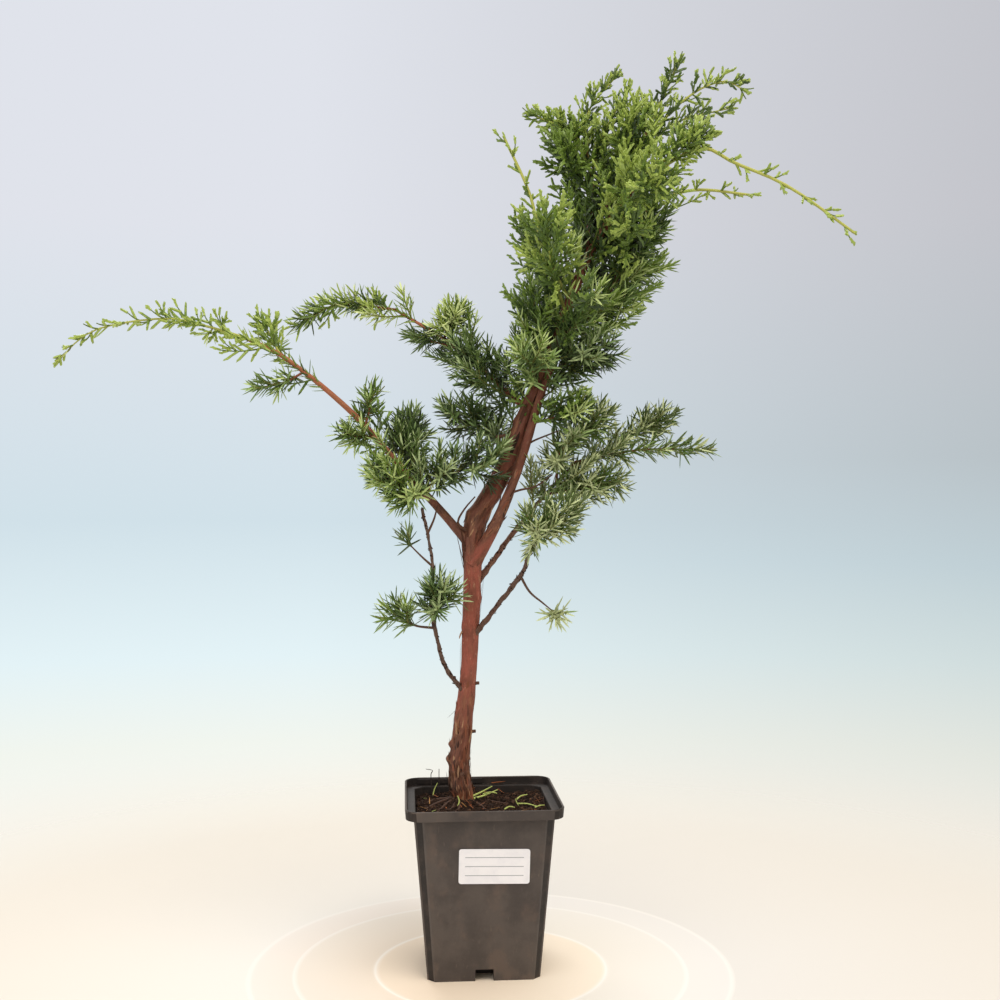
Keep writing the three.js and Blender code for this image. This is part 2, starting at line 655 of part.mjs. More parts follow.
function makeMass(mass) {
  const steps = 1 + stepsPerBend * (mass.route.length - 1);
  const solids = [toSolid(tube(mass.stem, mass.radiusAt, steps, coreSides))];
  for (const shoot of shootsOf(mass)) {
    taken.push(...straightBalls(shoot.foot, shoot.tip, shoot.kind.radius, mass.name));
    solids.push(toSolid(shootGeometry(shoot, mass)));
  }
  return toGeometry(wasm.Manifold.union(solids).subtract(limbSolid(mass.from, clearance)));
}

const finish = (color, roughness) => new THREE.MeshStandardMaterial({ color, roughness, metalness: 0 });
const plastic = finish('#2b2a2a', 0.55);
const paper = finish('#e9eaec', 0.8);
const peat = finish('#3a2a20', 0.95);
const bark = finish('#7a4f3c', 0.85);
const needleGreen = finish('#4f8a3c', 0.6);
const scaleGreen = finish('#7fae4a', 0.6);

const bonsai = new THREE.Group();

function addPiece(name, geometry, material) {
  const mesh = new THREE.Mesh(geometry, material);
  mesh.name = name;
  bonsai.add(mesh);
}

addPiece('pot', makePot(), plastic);
addPiece('label', makeLabel(), paper);
addPiece('soil', makeSoil(), peat);
addPiece('trunk', makeTrunk(), bark);
for (const { name } of boughs) {
  addPiece(name, makeBough(name), bark);
}
for (const mass of masses) {
  addPiece(mass.name, makeMass(mass), mass.adult > 0.5 ? scaleGreen : needleGreen);
}

export default bonsai;
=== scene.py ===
"""A kishu juniper bonsai in its square nursery pot, dressed for a close look.

The trunk and boughs get a bark skin with ridges, cracks and peeling strips. The masses of foliage grow
on from the limbs by the seeded rule of the solids, carried to finer twigs with needles or scale leaves.
The pot is moulded with its rim and drains, and the soil gets its crumbs, litter and roots.
Lengths are millimetres in the part's own frame until a mesh is made, which is in metres.
"""

import json
import logging
import math
from collections.abc import Callable, Sequence
from dataclasses import dataclass, field, replace
from enum import Enum
from functools import partial
from typing import Any

import bpy
import numpy as np
from mathutils import Euler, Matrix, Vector, noise

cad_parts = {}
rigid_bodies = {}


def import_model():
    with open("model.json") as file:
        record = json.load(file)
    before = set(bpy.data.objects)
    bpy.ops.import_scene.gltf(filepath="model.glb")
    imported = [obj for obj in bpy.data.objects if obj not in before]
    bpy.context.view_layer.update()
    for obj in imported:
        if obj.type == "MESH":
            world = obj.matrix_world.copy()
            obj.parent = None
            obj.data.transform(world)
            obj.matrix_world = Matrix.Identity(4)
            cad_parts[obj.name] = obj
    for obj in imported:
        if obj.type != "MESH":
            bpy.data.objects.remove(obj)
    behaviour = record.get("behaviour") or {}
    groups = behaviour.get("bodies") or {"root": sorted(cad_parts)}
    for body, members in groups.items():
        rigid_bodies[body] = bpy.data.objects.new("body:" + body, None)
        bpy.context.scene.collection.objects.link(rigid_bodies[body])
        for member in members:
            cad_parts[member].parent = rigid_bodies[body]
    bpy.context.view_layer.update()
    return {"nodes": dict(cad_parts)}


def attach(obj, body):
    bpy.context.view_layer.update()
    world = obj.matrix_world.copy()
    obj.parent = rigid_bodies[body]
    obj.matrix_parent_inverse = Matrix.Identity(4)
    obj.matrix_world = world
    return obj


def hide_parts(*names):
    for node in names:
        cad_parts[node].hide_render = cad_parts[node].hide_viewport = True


logging.basicConfig(level=logging.INFO, format="%(name)s: %(message)s")
log = logging.getLogger("bonsai")

MM = 0.001
UP = np.array([0.0, 0.0, 1.0])
BACK = np.array([0.0, 1.0, 0.0])
GOLDEN_ANGLE = math.pi * (3 - math.sqrt(5))


def linear(hex_colour: str) -> tuple[float, float, float, float]:
    """Turn an sRGB hex colour to linear light.

    Args:
        hex_colour: The colour as "#rrggbb".

    Returns:
        Red, green, blue and an alpha of 1.
    """
    channels = [int(hex_colour[i : i + 2], 16) / 255 for i in (1, 3, 5)]
    light = [c / 12.92 if c <= 0.04045 else ((c + 0.055) / 1.055) ** 2.4 for c in channels]
    return (light[0], light[1], light[2], 1.0)


def add_node(
    tree: bpy.types.NodeTree,
    kind: str,
    settings: dict[str, Any] | None = None,
    output: int | str = 0,
    **links: Any,
) -> Any:
    """Add a node with its settings and its inputs.

    Args:
        tree: The node tree that gets the node.
        kind: The node's type name.
        settings: Properties of the node by name.
        output: The output that is wanted, by its place or its name.
        **links: Inputs, as sockets to link or values to set. The input's name is written with
            underscores for spaces, or as in_0, in_1 for an input by its place.

    Returns:
        The socket of that output, or None where the node has no outputs.
    """
    node = tree.nodes.new(kind)
    for name, value in (settings or {}).items():
        setattr(node, name, value)
    for name, value in links.items():
        if name.startswith("in_"):
            socket = node.inputs[int(name[3:])]
        else:
            socket = node.inputs[name.replace("_", " ")]
        if isinstance(value, bpy.types.NodeSocket):
            tree.links.new(value, socket)
        else:
            socket.default_value = value
    return node.outputs[output] if len(node.outputs) else None


def unit(vectors: np.ndarray) -> np.ndarray:
    """Scale vectors to a length of one.

    Args:
        vectors: One vector, or rows of vectors.

    Returns:
        The same directions with a length of one.
    """
    length = np.linalg.norm(vectors, axis=-1, keepdims=True)
    return vectors / np.maximum(length, 1e-9)


def side_of(along: np.ndarray) -> np.ndarray:
    """Find the direction square to each given one, level where it can be.

    Args:
        along: Rows of directions.

    Returns:
        Rows of directions square to them.
    """
    reference = np.where(np.abs(along[..., 2:]) > 0.9, BACK, UP)
    return unit(np.cross(along, reference))


def square_to(directions: np.ndarray, aims: np.ndarray) -> np.ndarray:
    """Turn each direction until it is square to its aim.

    Args:
        directions: Rows of directions.
        aims: Rows of directions with a length of one.

    Returns:
        Rows of directions with a length of one.
    """
    return unit(directions - aims * (directions * aims).sum(axis=1, keepdims=True))


def branch_direction(along: np.ndarray, angle: Any, turn: Any) -> np.ndarray:
    """Turn a direction away from a stem.

    Args:
        along: The stem's direction, one or rows.
        angle: The angle off the stem, in radians.
        turn: The place round the stem, in radians.

    Returns:
        The direction that leaves the stem.
    """
    side = side_of(along)
    over = np.cross(side, along)
    angle = np.asarray(angle)[..., None]
    turn = np.asarray(turn)[..., None]
    out = side * np.cos(turn) + over * np.sin(turn)
    return along * np.cos(angle) + out * np.sin(angle)


def random_stream(seed: int) -> Callable[[], float]:
    """Make the repeatable stream of random numbers that the solids are grown with.

    Args:
        seed: The stream's seed.

    Returns:
        A function that gives the next number from 0 to 1.
    """
    whole = 0xFFFFFFFF
    state = seed & whole

    def draw() -> float:
        """Give the next number.

        Returns:
            A number from 0 to 1.
        """
        nonlocal state
        state = (state + 0x6D2B79F5) & whole
        mixed = ((state ^ (state >> 15)) * (state | 1)) & whole
        mixed ^= (mixed + ((mixed ^ (mixed >> 7)) * (mixed | 61) & whole)) & whole
        return ((mixed ^ (mixed >> 14)) & whole) / 4294967296

    return draw


def make_mesh(
    name: str, points: np.ndarray, faces: Sequence[Sequence[int]], smooth: bool = True
) -> bpy.types.Object:
    """Make a mesh object at the origin from points in millimetres.

    Args:
        name: The object's name.
        points: Rows of x, y and z in millimetres.
        faces: The corner numbers of each face.
        smooth: Whether its faces are shaded smooth.

    Returns:
        The new object.
    """
    mesh = bpy.data.meshes.new(name)
    mesh.from_pydata((np.asarray(points) * MM).tolist(), [], [list(face) for face in faces])
    mesh.polygons.foreach_set("use_smooth", [smooth] * len(mesh.polygons))
    mesh.update()
    piece = bpy.data.objects.new(name, mesh)
    bpy.context.scene.collection.objects.link(piece)
    return piece


def set_attribute(mesh: bpy.types.Mesh, name: str, kind: str, values: np.ndarray) -> None:
    """Store one value for each point of a mesh.

    Args:
        mesh: The mesh that gets the attribute.
        name: The attribute's name.
        kind: Its type, such as FLOAT or FLOAT_VECTOR.
        values: One value or vector for each point.
    """
    attribute = mesh.attributes.new(name, kind, "POINT")
    key = "vector" if kind == "FLOAT_VECTOR" else "value"
    attribute.data.foreach_set(key, np.ascontiguousarray(values).ravel())


def join_rows(rows: Sequence[dict[str, np.ndarray]]) -> dict[str, np.ndarray]:
    """Join tables that have the same columns, one below the other."""
    return {key: np.concatenate([row[key] for row in rows]) for key in rows[0]}


def triangle_count(piece: bpy.types.Object) -> int:
    """Count the triangles of a mesh object."""
    return sum(len(polygon.vertices) - 2 for polygon in piece.data.polygons)


def bake_modifiers(piece: bpy.types.Object) -> bpy.types.Object:
    """Turn an object with live modifiers to a plain mesh.

    Args:
        piece: The object, whose modifiers are then removed.

    Returns:
        The same object with the finished mesh.
    """
    depsgraph = bpy.context.evaluated_depsgraph_get()
    finished = bpy.data.meshes.new_from_object(piece.evaluated_get(depsgraph))
    piece.modifiers.clear()
    raw = piece.data
    piece.data = finished
    bpy.data.meshes.remove(raw)
    return piece


@dataclass(frozen=True)
class Spline:
    """A smooth curve through points, as the limbs of the solids have."""

    points: tuple[tuple[float, float, float], ...]

    def at(self, share: Any) -> np.ndarray:
        """Give the curve's points at shares of its run.

        Args:
            share: Numbers from 0 at the foot to 1 at the tip.

        Returns:
            Rows of points.
        """
        p = np.asarray(self.points, dtype=float)
        p = np.vstack([2 * p[0] - p[1], p, 2 * p[-1] - p[-2]])
        place = np.clip(np.asarray(share, dtype=float), 0, 1) * (len(self.points) - 1)
        i = np.minimum(place.astype(int), len(self.points) - 2)
        w = (place - i)[..., None]
        p0, p1, p2, p3 = p[i], p[i + 1], p[i + 2], p[i + 3]
        t1 = (p2 - p0) / 2
        t2 = (p3 - p1) / 2
        return (
            p1
            + t1 * w
            + (3 * (p2 - p1) - 2 * t1 - t2) * w**2
            + (2 * (p1 - p2) + t1 + t2) * w**3
        )

    def tangent(self, share: Any) -> np.ndarray:
        """Give the curve's directions at shares of its run."""
        share = np.asarray(share, dtype=float)
        return unit(self.at(np.minimum(share + 1e-4, 1)) - self.at(np.maximum(share - 1e-4, 0)))

    def length(self) -> float:
        """Measure the curve."""
        run = self.at(np.linspace(0, 1, 201))
        return float(np.linalg.norm(np.diff(run, axis=0), axis=1).sum())


class Region(Enum):
    """The parts of the crown that are joined into pieces of their own."""

    LEFT = "left_boughs"
    LOW = "low_sprigs"
    RIGHT = "right_boughs"
    CROWN_LOW = "crown_low"
    CROWN_MID = "crown_mid"
    CROWN_TOP = "crown_top"


class Tone(Enum):
    """The colours of foliage, dealt out by spray: what the leaf's back and its upper face show."""

    SHADE = ("#2f3d1d", "#556a3a")
    DEEP = ("#3d5227", "#6f884e")
    MID = ("#566e2f", "#92ab66")
    FRESH = ("#768f3a", "#b5c67e")
    LIME = ("#a0b354", "#d3de9c")
    SILVER = ("#5f6f3e", "#bfc995")
    SAGE = ("#5d7339", "#a3b47e")


@dataclass(frozen=True)
class Mass:
    """One mass of foliage: the stem it grows on and how it fills its space."""

    name: str
    parent: str
    at: float
    reach: float
    taper: float
    shoots: int
    bare: float
    adult: float
    route: tuple[tuple[float, float, float], ...]
    region: Region
    tones: tuple[Tone, Tone, Tone]


@dataclass(frozen=True)
class Bough:
    """One bough: where it leaves its parent, its route and its radii at foot and tip."""

    name: str
    parent: str
    at: float
    radii: tuple[float, float]
    route: tuple[tuple[float, float, float], ...]


TRUNK_STATIONS = (
    (-11, 11, 86, 10.5),
    (-11, 11, 95, 7.6),
    (-12, 10, 104, 6.4),
    (-12, 10, 118, 6.1),
    (-10, 8, 141, 5.5),
    (-7, 6, 172, 4.8),
    (-5, 3, 226, 5.3),
    (-4, 2, 256, 6.1),
    (12, 2, 287, 5.5),
    (28, 0, 327, 4.6),
    (43, -3, 364, 3.9),
    (61, -1, 411, 2.6),
    (78, -4, 443, 1.9),
    (102, -4, 499, 0.9),
)

BOUGHS = (
    Bough("leader_right", "trunk", 0.48, (4.2, 1.1),
          ((7.2, -6, 256), (21.5, -6, 290.5), (45, -6, 360), (80, 8, 402), (106, 0, 460))),
    Bough("leader_left", "trunk", 0.83, (2.6, 0.9), ((66, 9, 435), (68, 13, 460), (64, 12, 484))),
    Bough("bough_left_long", "trunk", 0.505, (2.9, 1.0),
          ((-25, -4, 267), (-41, -12, 284), (-75, -14, 322), (-113, -16, 353), (-137, -15, 365))),
    Bough("bough_left_high", "trunk", 0.69, (2.4, 0.9), ((13, 9, 339), (-16, 27, 367), (-51, 34, 389))),
    Bough("bough_right_low", "trunk", 0.41, (2.0, 0.9), ((21, -16, 227), (26, -22, 240), (33, -27, 251))),
    Bough("bough_right_high", "trunk", 0.45, (2.2, 0.9), ((20, 11, 252), (35, 14, 270), (58, 16, 295))),
    Bough("bough_low_left", "trunk", 0.35, (1.6, 1.0),
          ((-22, -4, 176), (-29, -12, 208), (-29, -12, 237), (-35, -11, 267))),
    Bough("bough_front", "trunk", 0.89, (1.9, 0.9), ((84, -26, 447), (102, -38, 464))),
)

# The stretch of each limb that bears shoots of its own, by the shares of its run.
LEAFY_LIMBS = (
    ("trunk", 0.66, 1.0),
    ("leader_right", 0.5, 1.0),
    ("leader_left", 0.1, 1.0),
    ("bough_left_long", 0.3, 0.58),
    ("bough_left_long", 0.66, 1.0),
    ("bough_left_high", 0.16, 0.98),
    ("bough_right_high", 0.62, 1.0),
    ("bough_front", 0.2, 1.0),
)

# Palettes dealt out by mass. The darker ones go to inner, back and low masses as painted shade, and the brighter
# ones go to top and front masses as painted light. Each palette also carries the fresh or older colour of its
# growth.
SHADED = (Tone.SHADE, Tone.DEEP, Tone.SAGE)
PLAIN = (Tone.DEEP, Tone.MID, Tone.FRESH)
BRIGHT = (Tone.MID, Tone.FRESH, Tone.LIME)
SUNLIT = (Tone.DEEP, Tone.FRESH, Tone.LIME)
CLEAR = (Tone.DEEP, Tone.MID, Tone.LIME)
GLOWING = (Tone.FRESH, Tone.LIME, Tone.LIME)
PALE = (Tone.MID, Tone.SILVER, Tone.SILVER)

MASSES = (
    Mass("tip_left", "bough_left_long", 1, 14, 0.75, 14, 0.03, 0.85,
         ((-158, -16, 371), (-182, -16, 375), (-220, -16, 368), (-241, -16, 350)), Region.LEFT, GLOWING),
    Mass("spray_left_upper", "bough_left_long", 0.82, 11, 0.2, 6, 0.1, 0.6,
         ((-126, -6, 374),), Region.LEFT, BRIGHT),
    Mass("spray_left_lower", "bough_left_long", 0.74, 11, 0.2, 5, 0.15, 0.1,
         ((-113, -20, 339), (-127, -26, 335)), Region.LEFT, PLAIN),
    Mass("mass_left_peak", "bough_left_long", 0.56, 13, 0.3, 5, 0.1, 0.1,
         ((-63, -9, 334),), Region.LEFT, PLAIN),
    Mass("mass_left_outer", "bough_left_long", 0.53, 14, 0.3, 4, 0.1, 0.1,
         ((-77, -27, 308),), Region.LEFT, PLAIN),
    Mass("mass_left_inner", "bough_left_long", 0.46, 17, 0, 8, 0.1, 0.1,
         ((-41, 4, 310),), Region.LEFT, SHADED),
    Mass("mass_left_under", "bough_left_long", 0.37, 16, 0.1, 9, 0.12, 0,
         ((-41, -22, 273), (-57, -28, 286)), Region.LEFT, PLAIN),
    Mass("mass_left_heart", "bough_left_long", 0.31, 18, 0, 10, 0.12, 0,
         ((-25, -12, 285), (5, -14, 293)), Region.LEFT, SHADED),
    Mass("tip_left_high", "bough_left_high", 1, 14, 0.35, 16, 0.04, 0.2,
         ((-66, 36, 391), (-88, 38, 392), (-110, 42, 380)), Region.LEFT, SUNLIT),
    Mass("mass_left_high", "bough_left_high", 0.72, 15, 0.1, 7, 0.1, 0.1,
         ((-14, 22, 381),), Region.LEFT, SUNLIT),
    Mass("mass_left_back", "bough_left_high", 0.64, 13, 0.3, 4, 0.15, 0,
         ((-39, 38, 373),), Region.LEFT, SHADED),
    Mass("mass_high_heart", "trunk", 0.64, 18, 0.1, 10, 0.15, 0,
         ((6, 10, 312), (-14, 8, 320)), Region.LEFT, SHADED),
    Mass("mass_high_inner", "bough_left_high", 0.37, 17, 0, 7, 0.15, 0.1,
         ((4, 3, 346), (-6, 2, 355)), Region.LEFT, SHADED),
    Mass("tuft_low_left", "bough_low_left", 0.45, 17, 0, 6, 0.25, 0,
         ((-26, -17, 208), (-25, -21, 214)), Region.LOW, SHADED),
    Mass("tuft_low_side", "bough_low_left", 0.42, 15, 0, 3, 0.5, 0,
         ((-39, -9, 199), (-47, -10, 204)), Region.LOW, PLAIN),
    Mass("sprig_low_left", "bough_low_left", 0.72, 11, 0, 2, 0.85, 0,
         ((-35, -12, 239), (-43, -11, 247)), Region.LOW, SHADED),
    Mass("mass_right_low", "bough_right_low", 0.98, 20, 0.1, 9, 0.02, 0,
         ((29, -36, 253), (43, -34, 261)), Region.RIGHT, PALE),
    Mass("tuft_right", "bough_right_low", 0.35, 15, 0, 1, 0.92, 0,
         ((27, -19, 219), (34, -22, 213), (40, -25, 208)), Region.LOW, PALE),
    Mass("mass_right_under", "bough_right_high", 0.74, 17, 0.1, 8, 0.12, 0,
         ((73, 0, 282),), Region.RIGHT, PALE),
    Mass("tip_right", "bough_right_high", 1, 14, 0.45, 10, 0.1, 0.1,
         ((96, 0, 302), (134, -10, 301)), Region.RIGHT, PALE),
    Mass("mass_right_outer", "bough_right_high", 0.92, 15, 0.2, 10, 0.12, 0.1,
         ((87, 20, 309), (112, 15, 321)), Region.RIGHT, PALE),
    Mass("mass_right_inner", "bough_right_high", 0.84, 18, 0, 9, 0.12, 0,
         ((47, -6, 301), (65, -9, 317)), Region.RIGHT, PALE),
    Mass("mass_right_upper", "leader_right", 0.48, 17, 0.2, 7, 0.12, 0.1,
         ((54, -18, 323),), Region.RIGHT, PLAIN),
    Mass("crown_foot_left", "trunk", 0.71, 17, 0, 6, 0.12, 0.1,
         ((27, -30, 351),), Region.CROWN_LOW, PLAIN),
    Mass("crown_low_left", "trunk", 0.75, 18, 0, 7, 0.12, 0.5,
         ((29, -16, 386),), Region.CROWN_LOW, PLAIN),
    Mass("crown_low_front", "trunk", 0.78, 16, 0, 6, 0.12, 0.2,
         ((57, -40, 385),), Region.CROWN_LOW, PLAIN),
    Mass("crown_low_back", "trunk", 0.76, 24, 0, 7, 0.12, 0.1,
         ((44, 37, 397),), Region.CROWN_LOW, SHADED),
    Mass("crown_low_right", "leader_right", 0.56, 18, 0, 8, 0.12, 0.1,
         ((63, -21, 357),), Region.CROWN_LOW, SHADED),
    Mass("crown_edge_right", "leader_right", 0.68, 17, 0, 7, 0.12, 0.2,
         ((80, -5, 388),), Region.CROWN_LOW, PLAIN),
    Mass("crown_mid_front", "trunk", 0.8, 21, 0, 10, 0.1, 0.97,
         ((39, -29, 403), (35, -39, 422)), Region.CROWN_MID, BRIGHT),
    Mass("crown_mid_left", "trunk", 0.79, 18, 0, 8, 0.3, 1,
         ((29, 2, 425),), Region.CROWN_MID, PLAIN),
    Mass("shoot_left", "trunk", 0.81, 8, 0.3, 6, 0.5, 1,
         ((35, -17, 418), (27, -16, 450), (12, -15, 483)), Region.CROWN_MID, BRIGHT),
    Mass("crown_mid_right", "leader_right", 0.8, 17, 0, 7, 0.12, 0.6,
         ((99, -19, 433),), Region.CROWN_MID, PLAIN),
    Mass("crown_front_right", "leader_right", 0.86, 16, 0, 6, 0.12, 0.95,
         ((81, -40, 427),), Region.CROWN_MID, BRIGHT),
    Mass("crown_back_right", "leader_right", 0.76, 23, 0, 7, 0.12, 0.3,
         ((99, 35, 417),), Region.CROWN_MID, PLAIN),
    Mass("spray_front_upper", "bough_front", 0.97, 16, 0.3, 9, 0.04, 1,
         ((119, -45, 476),), Region.CROWN_TOP, BRIGHT),
    Mass("shoot_drooping", "bough_front", 0.83, 8, 0.3, 8, 0.35, 1,
         ((121, -44, 470), (140, -48, 461), (170, -52, 447), (206, -56, 421)), Region.CROWN_TOP, GLOWING),
    Mass("spray_front_low", "bough_front", 0.59, 20, 0, 6, 0.1, 1,
         ((90, -55, 446),), Region.CROWN_TOP, BRIGHT),
    Mass("shoot_right", "leader_right", 0.97, 7, 0.3, 6, 0.3, 1,
         ((128, -6, 456), (161, -8, 453)), Region.CROWN_TOP, BRIGHT),
    Mass("crown_back_mid", "trunk", 0.86, 25, 0, 8, 0.12, 0.4,
         ((84, 38, 467),), Region.CROWN_MID, SHADED),
    Mass("crown_top_left", "leader_left", 1, 16, 0.6, 12, 0.03, 1,
         ((51, -3, 491), (29, -2, 500)), Region.CROWN_TOP, SUNLIT),
    Mass("crown_side_left", "leader_left", 0.62, 17, 0, 9, 0.1, 1,
         ((48, -9, 474),), Region.CROWN_MID, PLAIN),
    Mass("shoot_peak_back", "leader_left", 0.9, 14, 0.6, 11, 0.03, 1,
         ((66, 14, 507), (83, 14, 529)), Region.CROWN_TOP, CLEAR),
    Mass("shoot_peak_front", "leader_left", 0.78, 13, 0.6, 9, 0.05, 1,
         ((73, -9, 490), (86, -13, 512)), Region.CROWN_TOP, CLEAR),
    Mass("crown_top_mid", "trunk", 0.94, 19, 0, 10, 0.1, 1,
         ((86, -18, 489),), Region.CROWN_TOP, SUNLIT),
    Mass("shoot_top", "trunk", 1, 13, 0.65, 8, 0.04, 1,
         ((118, -5, 534),), Region.CROWN_TOP, CLEAR),
    Mass("shoot_top_right", "trunk", 0.98, 12, 0.45, 8, 0.1, 1,
         ((120, -13, 508), (140, -17, 517), (153, -19, 512)), Region.CROWN_TOP, CLEAR),
    Mass("shoot_edge_right", "trunk", 0.97, 12, 0.45, 7, 0.2, 1,
         ((119, 7, 500), (153, 5, 509)), Region.CROWN_TOP, CLEAR),
)


class Skeleton:
    """The centre lines and radii of trunk, boughs and the stems of the masses."""

    def __init__(self) -> None:
        """Lay out every limb from its parent."""
        centre = tuple(station[:3] for station in TRUNK_STATIONS)
        self.curves: dict[str, Spline] = {"trunk": Spline(centre)}
        self.radii: dict[str, Callable[[np.ndarray], np.ndarray]] = {"trunk": self.trunk_radius}
        for bough in BOUGHS:
            self.curves[bough.name] = self.curve_from(bough.parent, bough.at, bough.route)
            self.radii[bough.name] = self.bough_radius(bough)

    @staticmethod
    def trunk_radius(share: np.ndarray) -> np.ndarray:
        """Give the trunk's radius at shares of its run."""
        stations = np.linspace(0, 1, len(TRUNK_STATIONS))
        return np.interp(share, stations, [station[3] for station in TRUNK_STATIONS])

    @staticmethod
    def bough_radius(bough: Bough) -> Callable[[np.ndarray], np.ndarray]:
        """Give a bough's radius as a function of the share of its run."""
        foot, tip = bough.radii
        return lambda share: foot + (tip - foot) * np.asarray(share) ** 0.8

    def curve_from(self, parent: str, at: float, route: Sequence[Sequence[float]]) -> Spline:
        """Run a curve from a place on its parent through a route.

        Args:
            parent: The name of the limb that it leaves.
            at: The share of the parent's run where it leaves.
            route: Its other points.

        Returns:
            The curve.
        """
        foot = tuple(self.curves[parent].at(at))
        return Spline((foot, *(tuple(point) for point in route)))

    def stem(self, mass: Mass) -> Spline:
        """Give the stem that a mass grows on."""
        return self.curve_from(mass.parent, mass.at, mass.route)


class LeafKind(Enum):
    """Young needles stand in threes, adult scale leaves hug short cords."""

    NEEDLE = 0
    CORD = 1


@dataclass
class Twig:
    """One twig as a run of points, with what it needs to bear leaves."""

    points: np.ndarray
    kind: LeafKind
    radii: tuple[float, float]
    turn: float
    order: int
    mass: int
    tone: Tone
    leafy: float = 0.12

    def __post_init__(self) -> None:
        """Measure the twig's run."""
        steps = np.linalg.norm(np.diff(self.points, axis=0), axis=1)
        self.run = np.concatenate([[0.0], np.cumsum(steps)])
        self.length = float(self.run[-1])

    def at(self, share: np.ndarray) -> np.ndarray:
        """Give points at shares of the twig's run."""
        place = np.asarray(share) * self.length
        return np.stack([np.interp(place, self.run, self.points[:, k]) for k in range(3)], axis=-1)

    def along(self, share: np.ndarray) -> np.ndarray:
        """Give directions at shares of the twig's run."""
        share = np.asarray(share)
        return unit(self.at(np.minimum(share + 0.04, 1)) - self.at(np.maximum(share - 0.04, 0)))


@dataclass
class LeafSet:
    """Leaves of one kind, as tables that are added twig by twig."""

    rows: list[dict[str, np.ndarray]] = field(default_factory=list)

    def add(self, mass: int, wide: float, **values: np.ndarray) -> None:
        """Add leaves that stand together.

        Args:
            mass: The number of the mass that bears them.
            wide: How wide they are, as a share of the usual width.
            **values: For each leaf its foot, its aim, the way its upper face looks, its size in
                millimetres, the number of its tone and the end that has to lie in its mass's space.
        """
        count = len(values["foot"])
        self.rows.append({**values, "wide": np.full(count, wide), "mass": np.full(count, mass)})


# Gaps in the crown, from the trunk or leader behind out to the front, with the radius of each.
OPENINGS = (
    ((54, -6, 398), (45, -70, 388), 3.0),
    ((50, -6, 390), (41, -70, 380), 4.0),
    ((36, -6, 345), (29, -70, 339), 4.0),
    ((31, -6, 334), (25, -70, 328), 5.0),
    ((76, -6, 398), (66, -70, 388), 2.5),
)


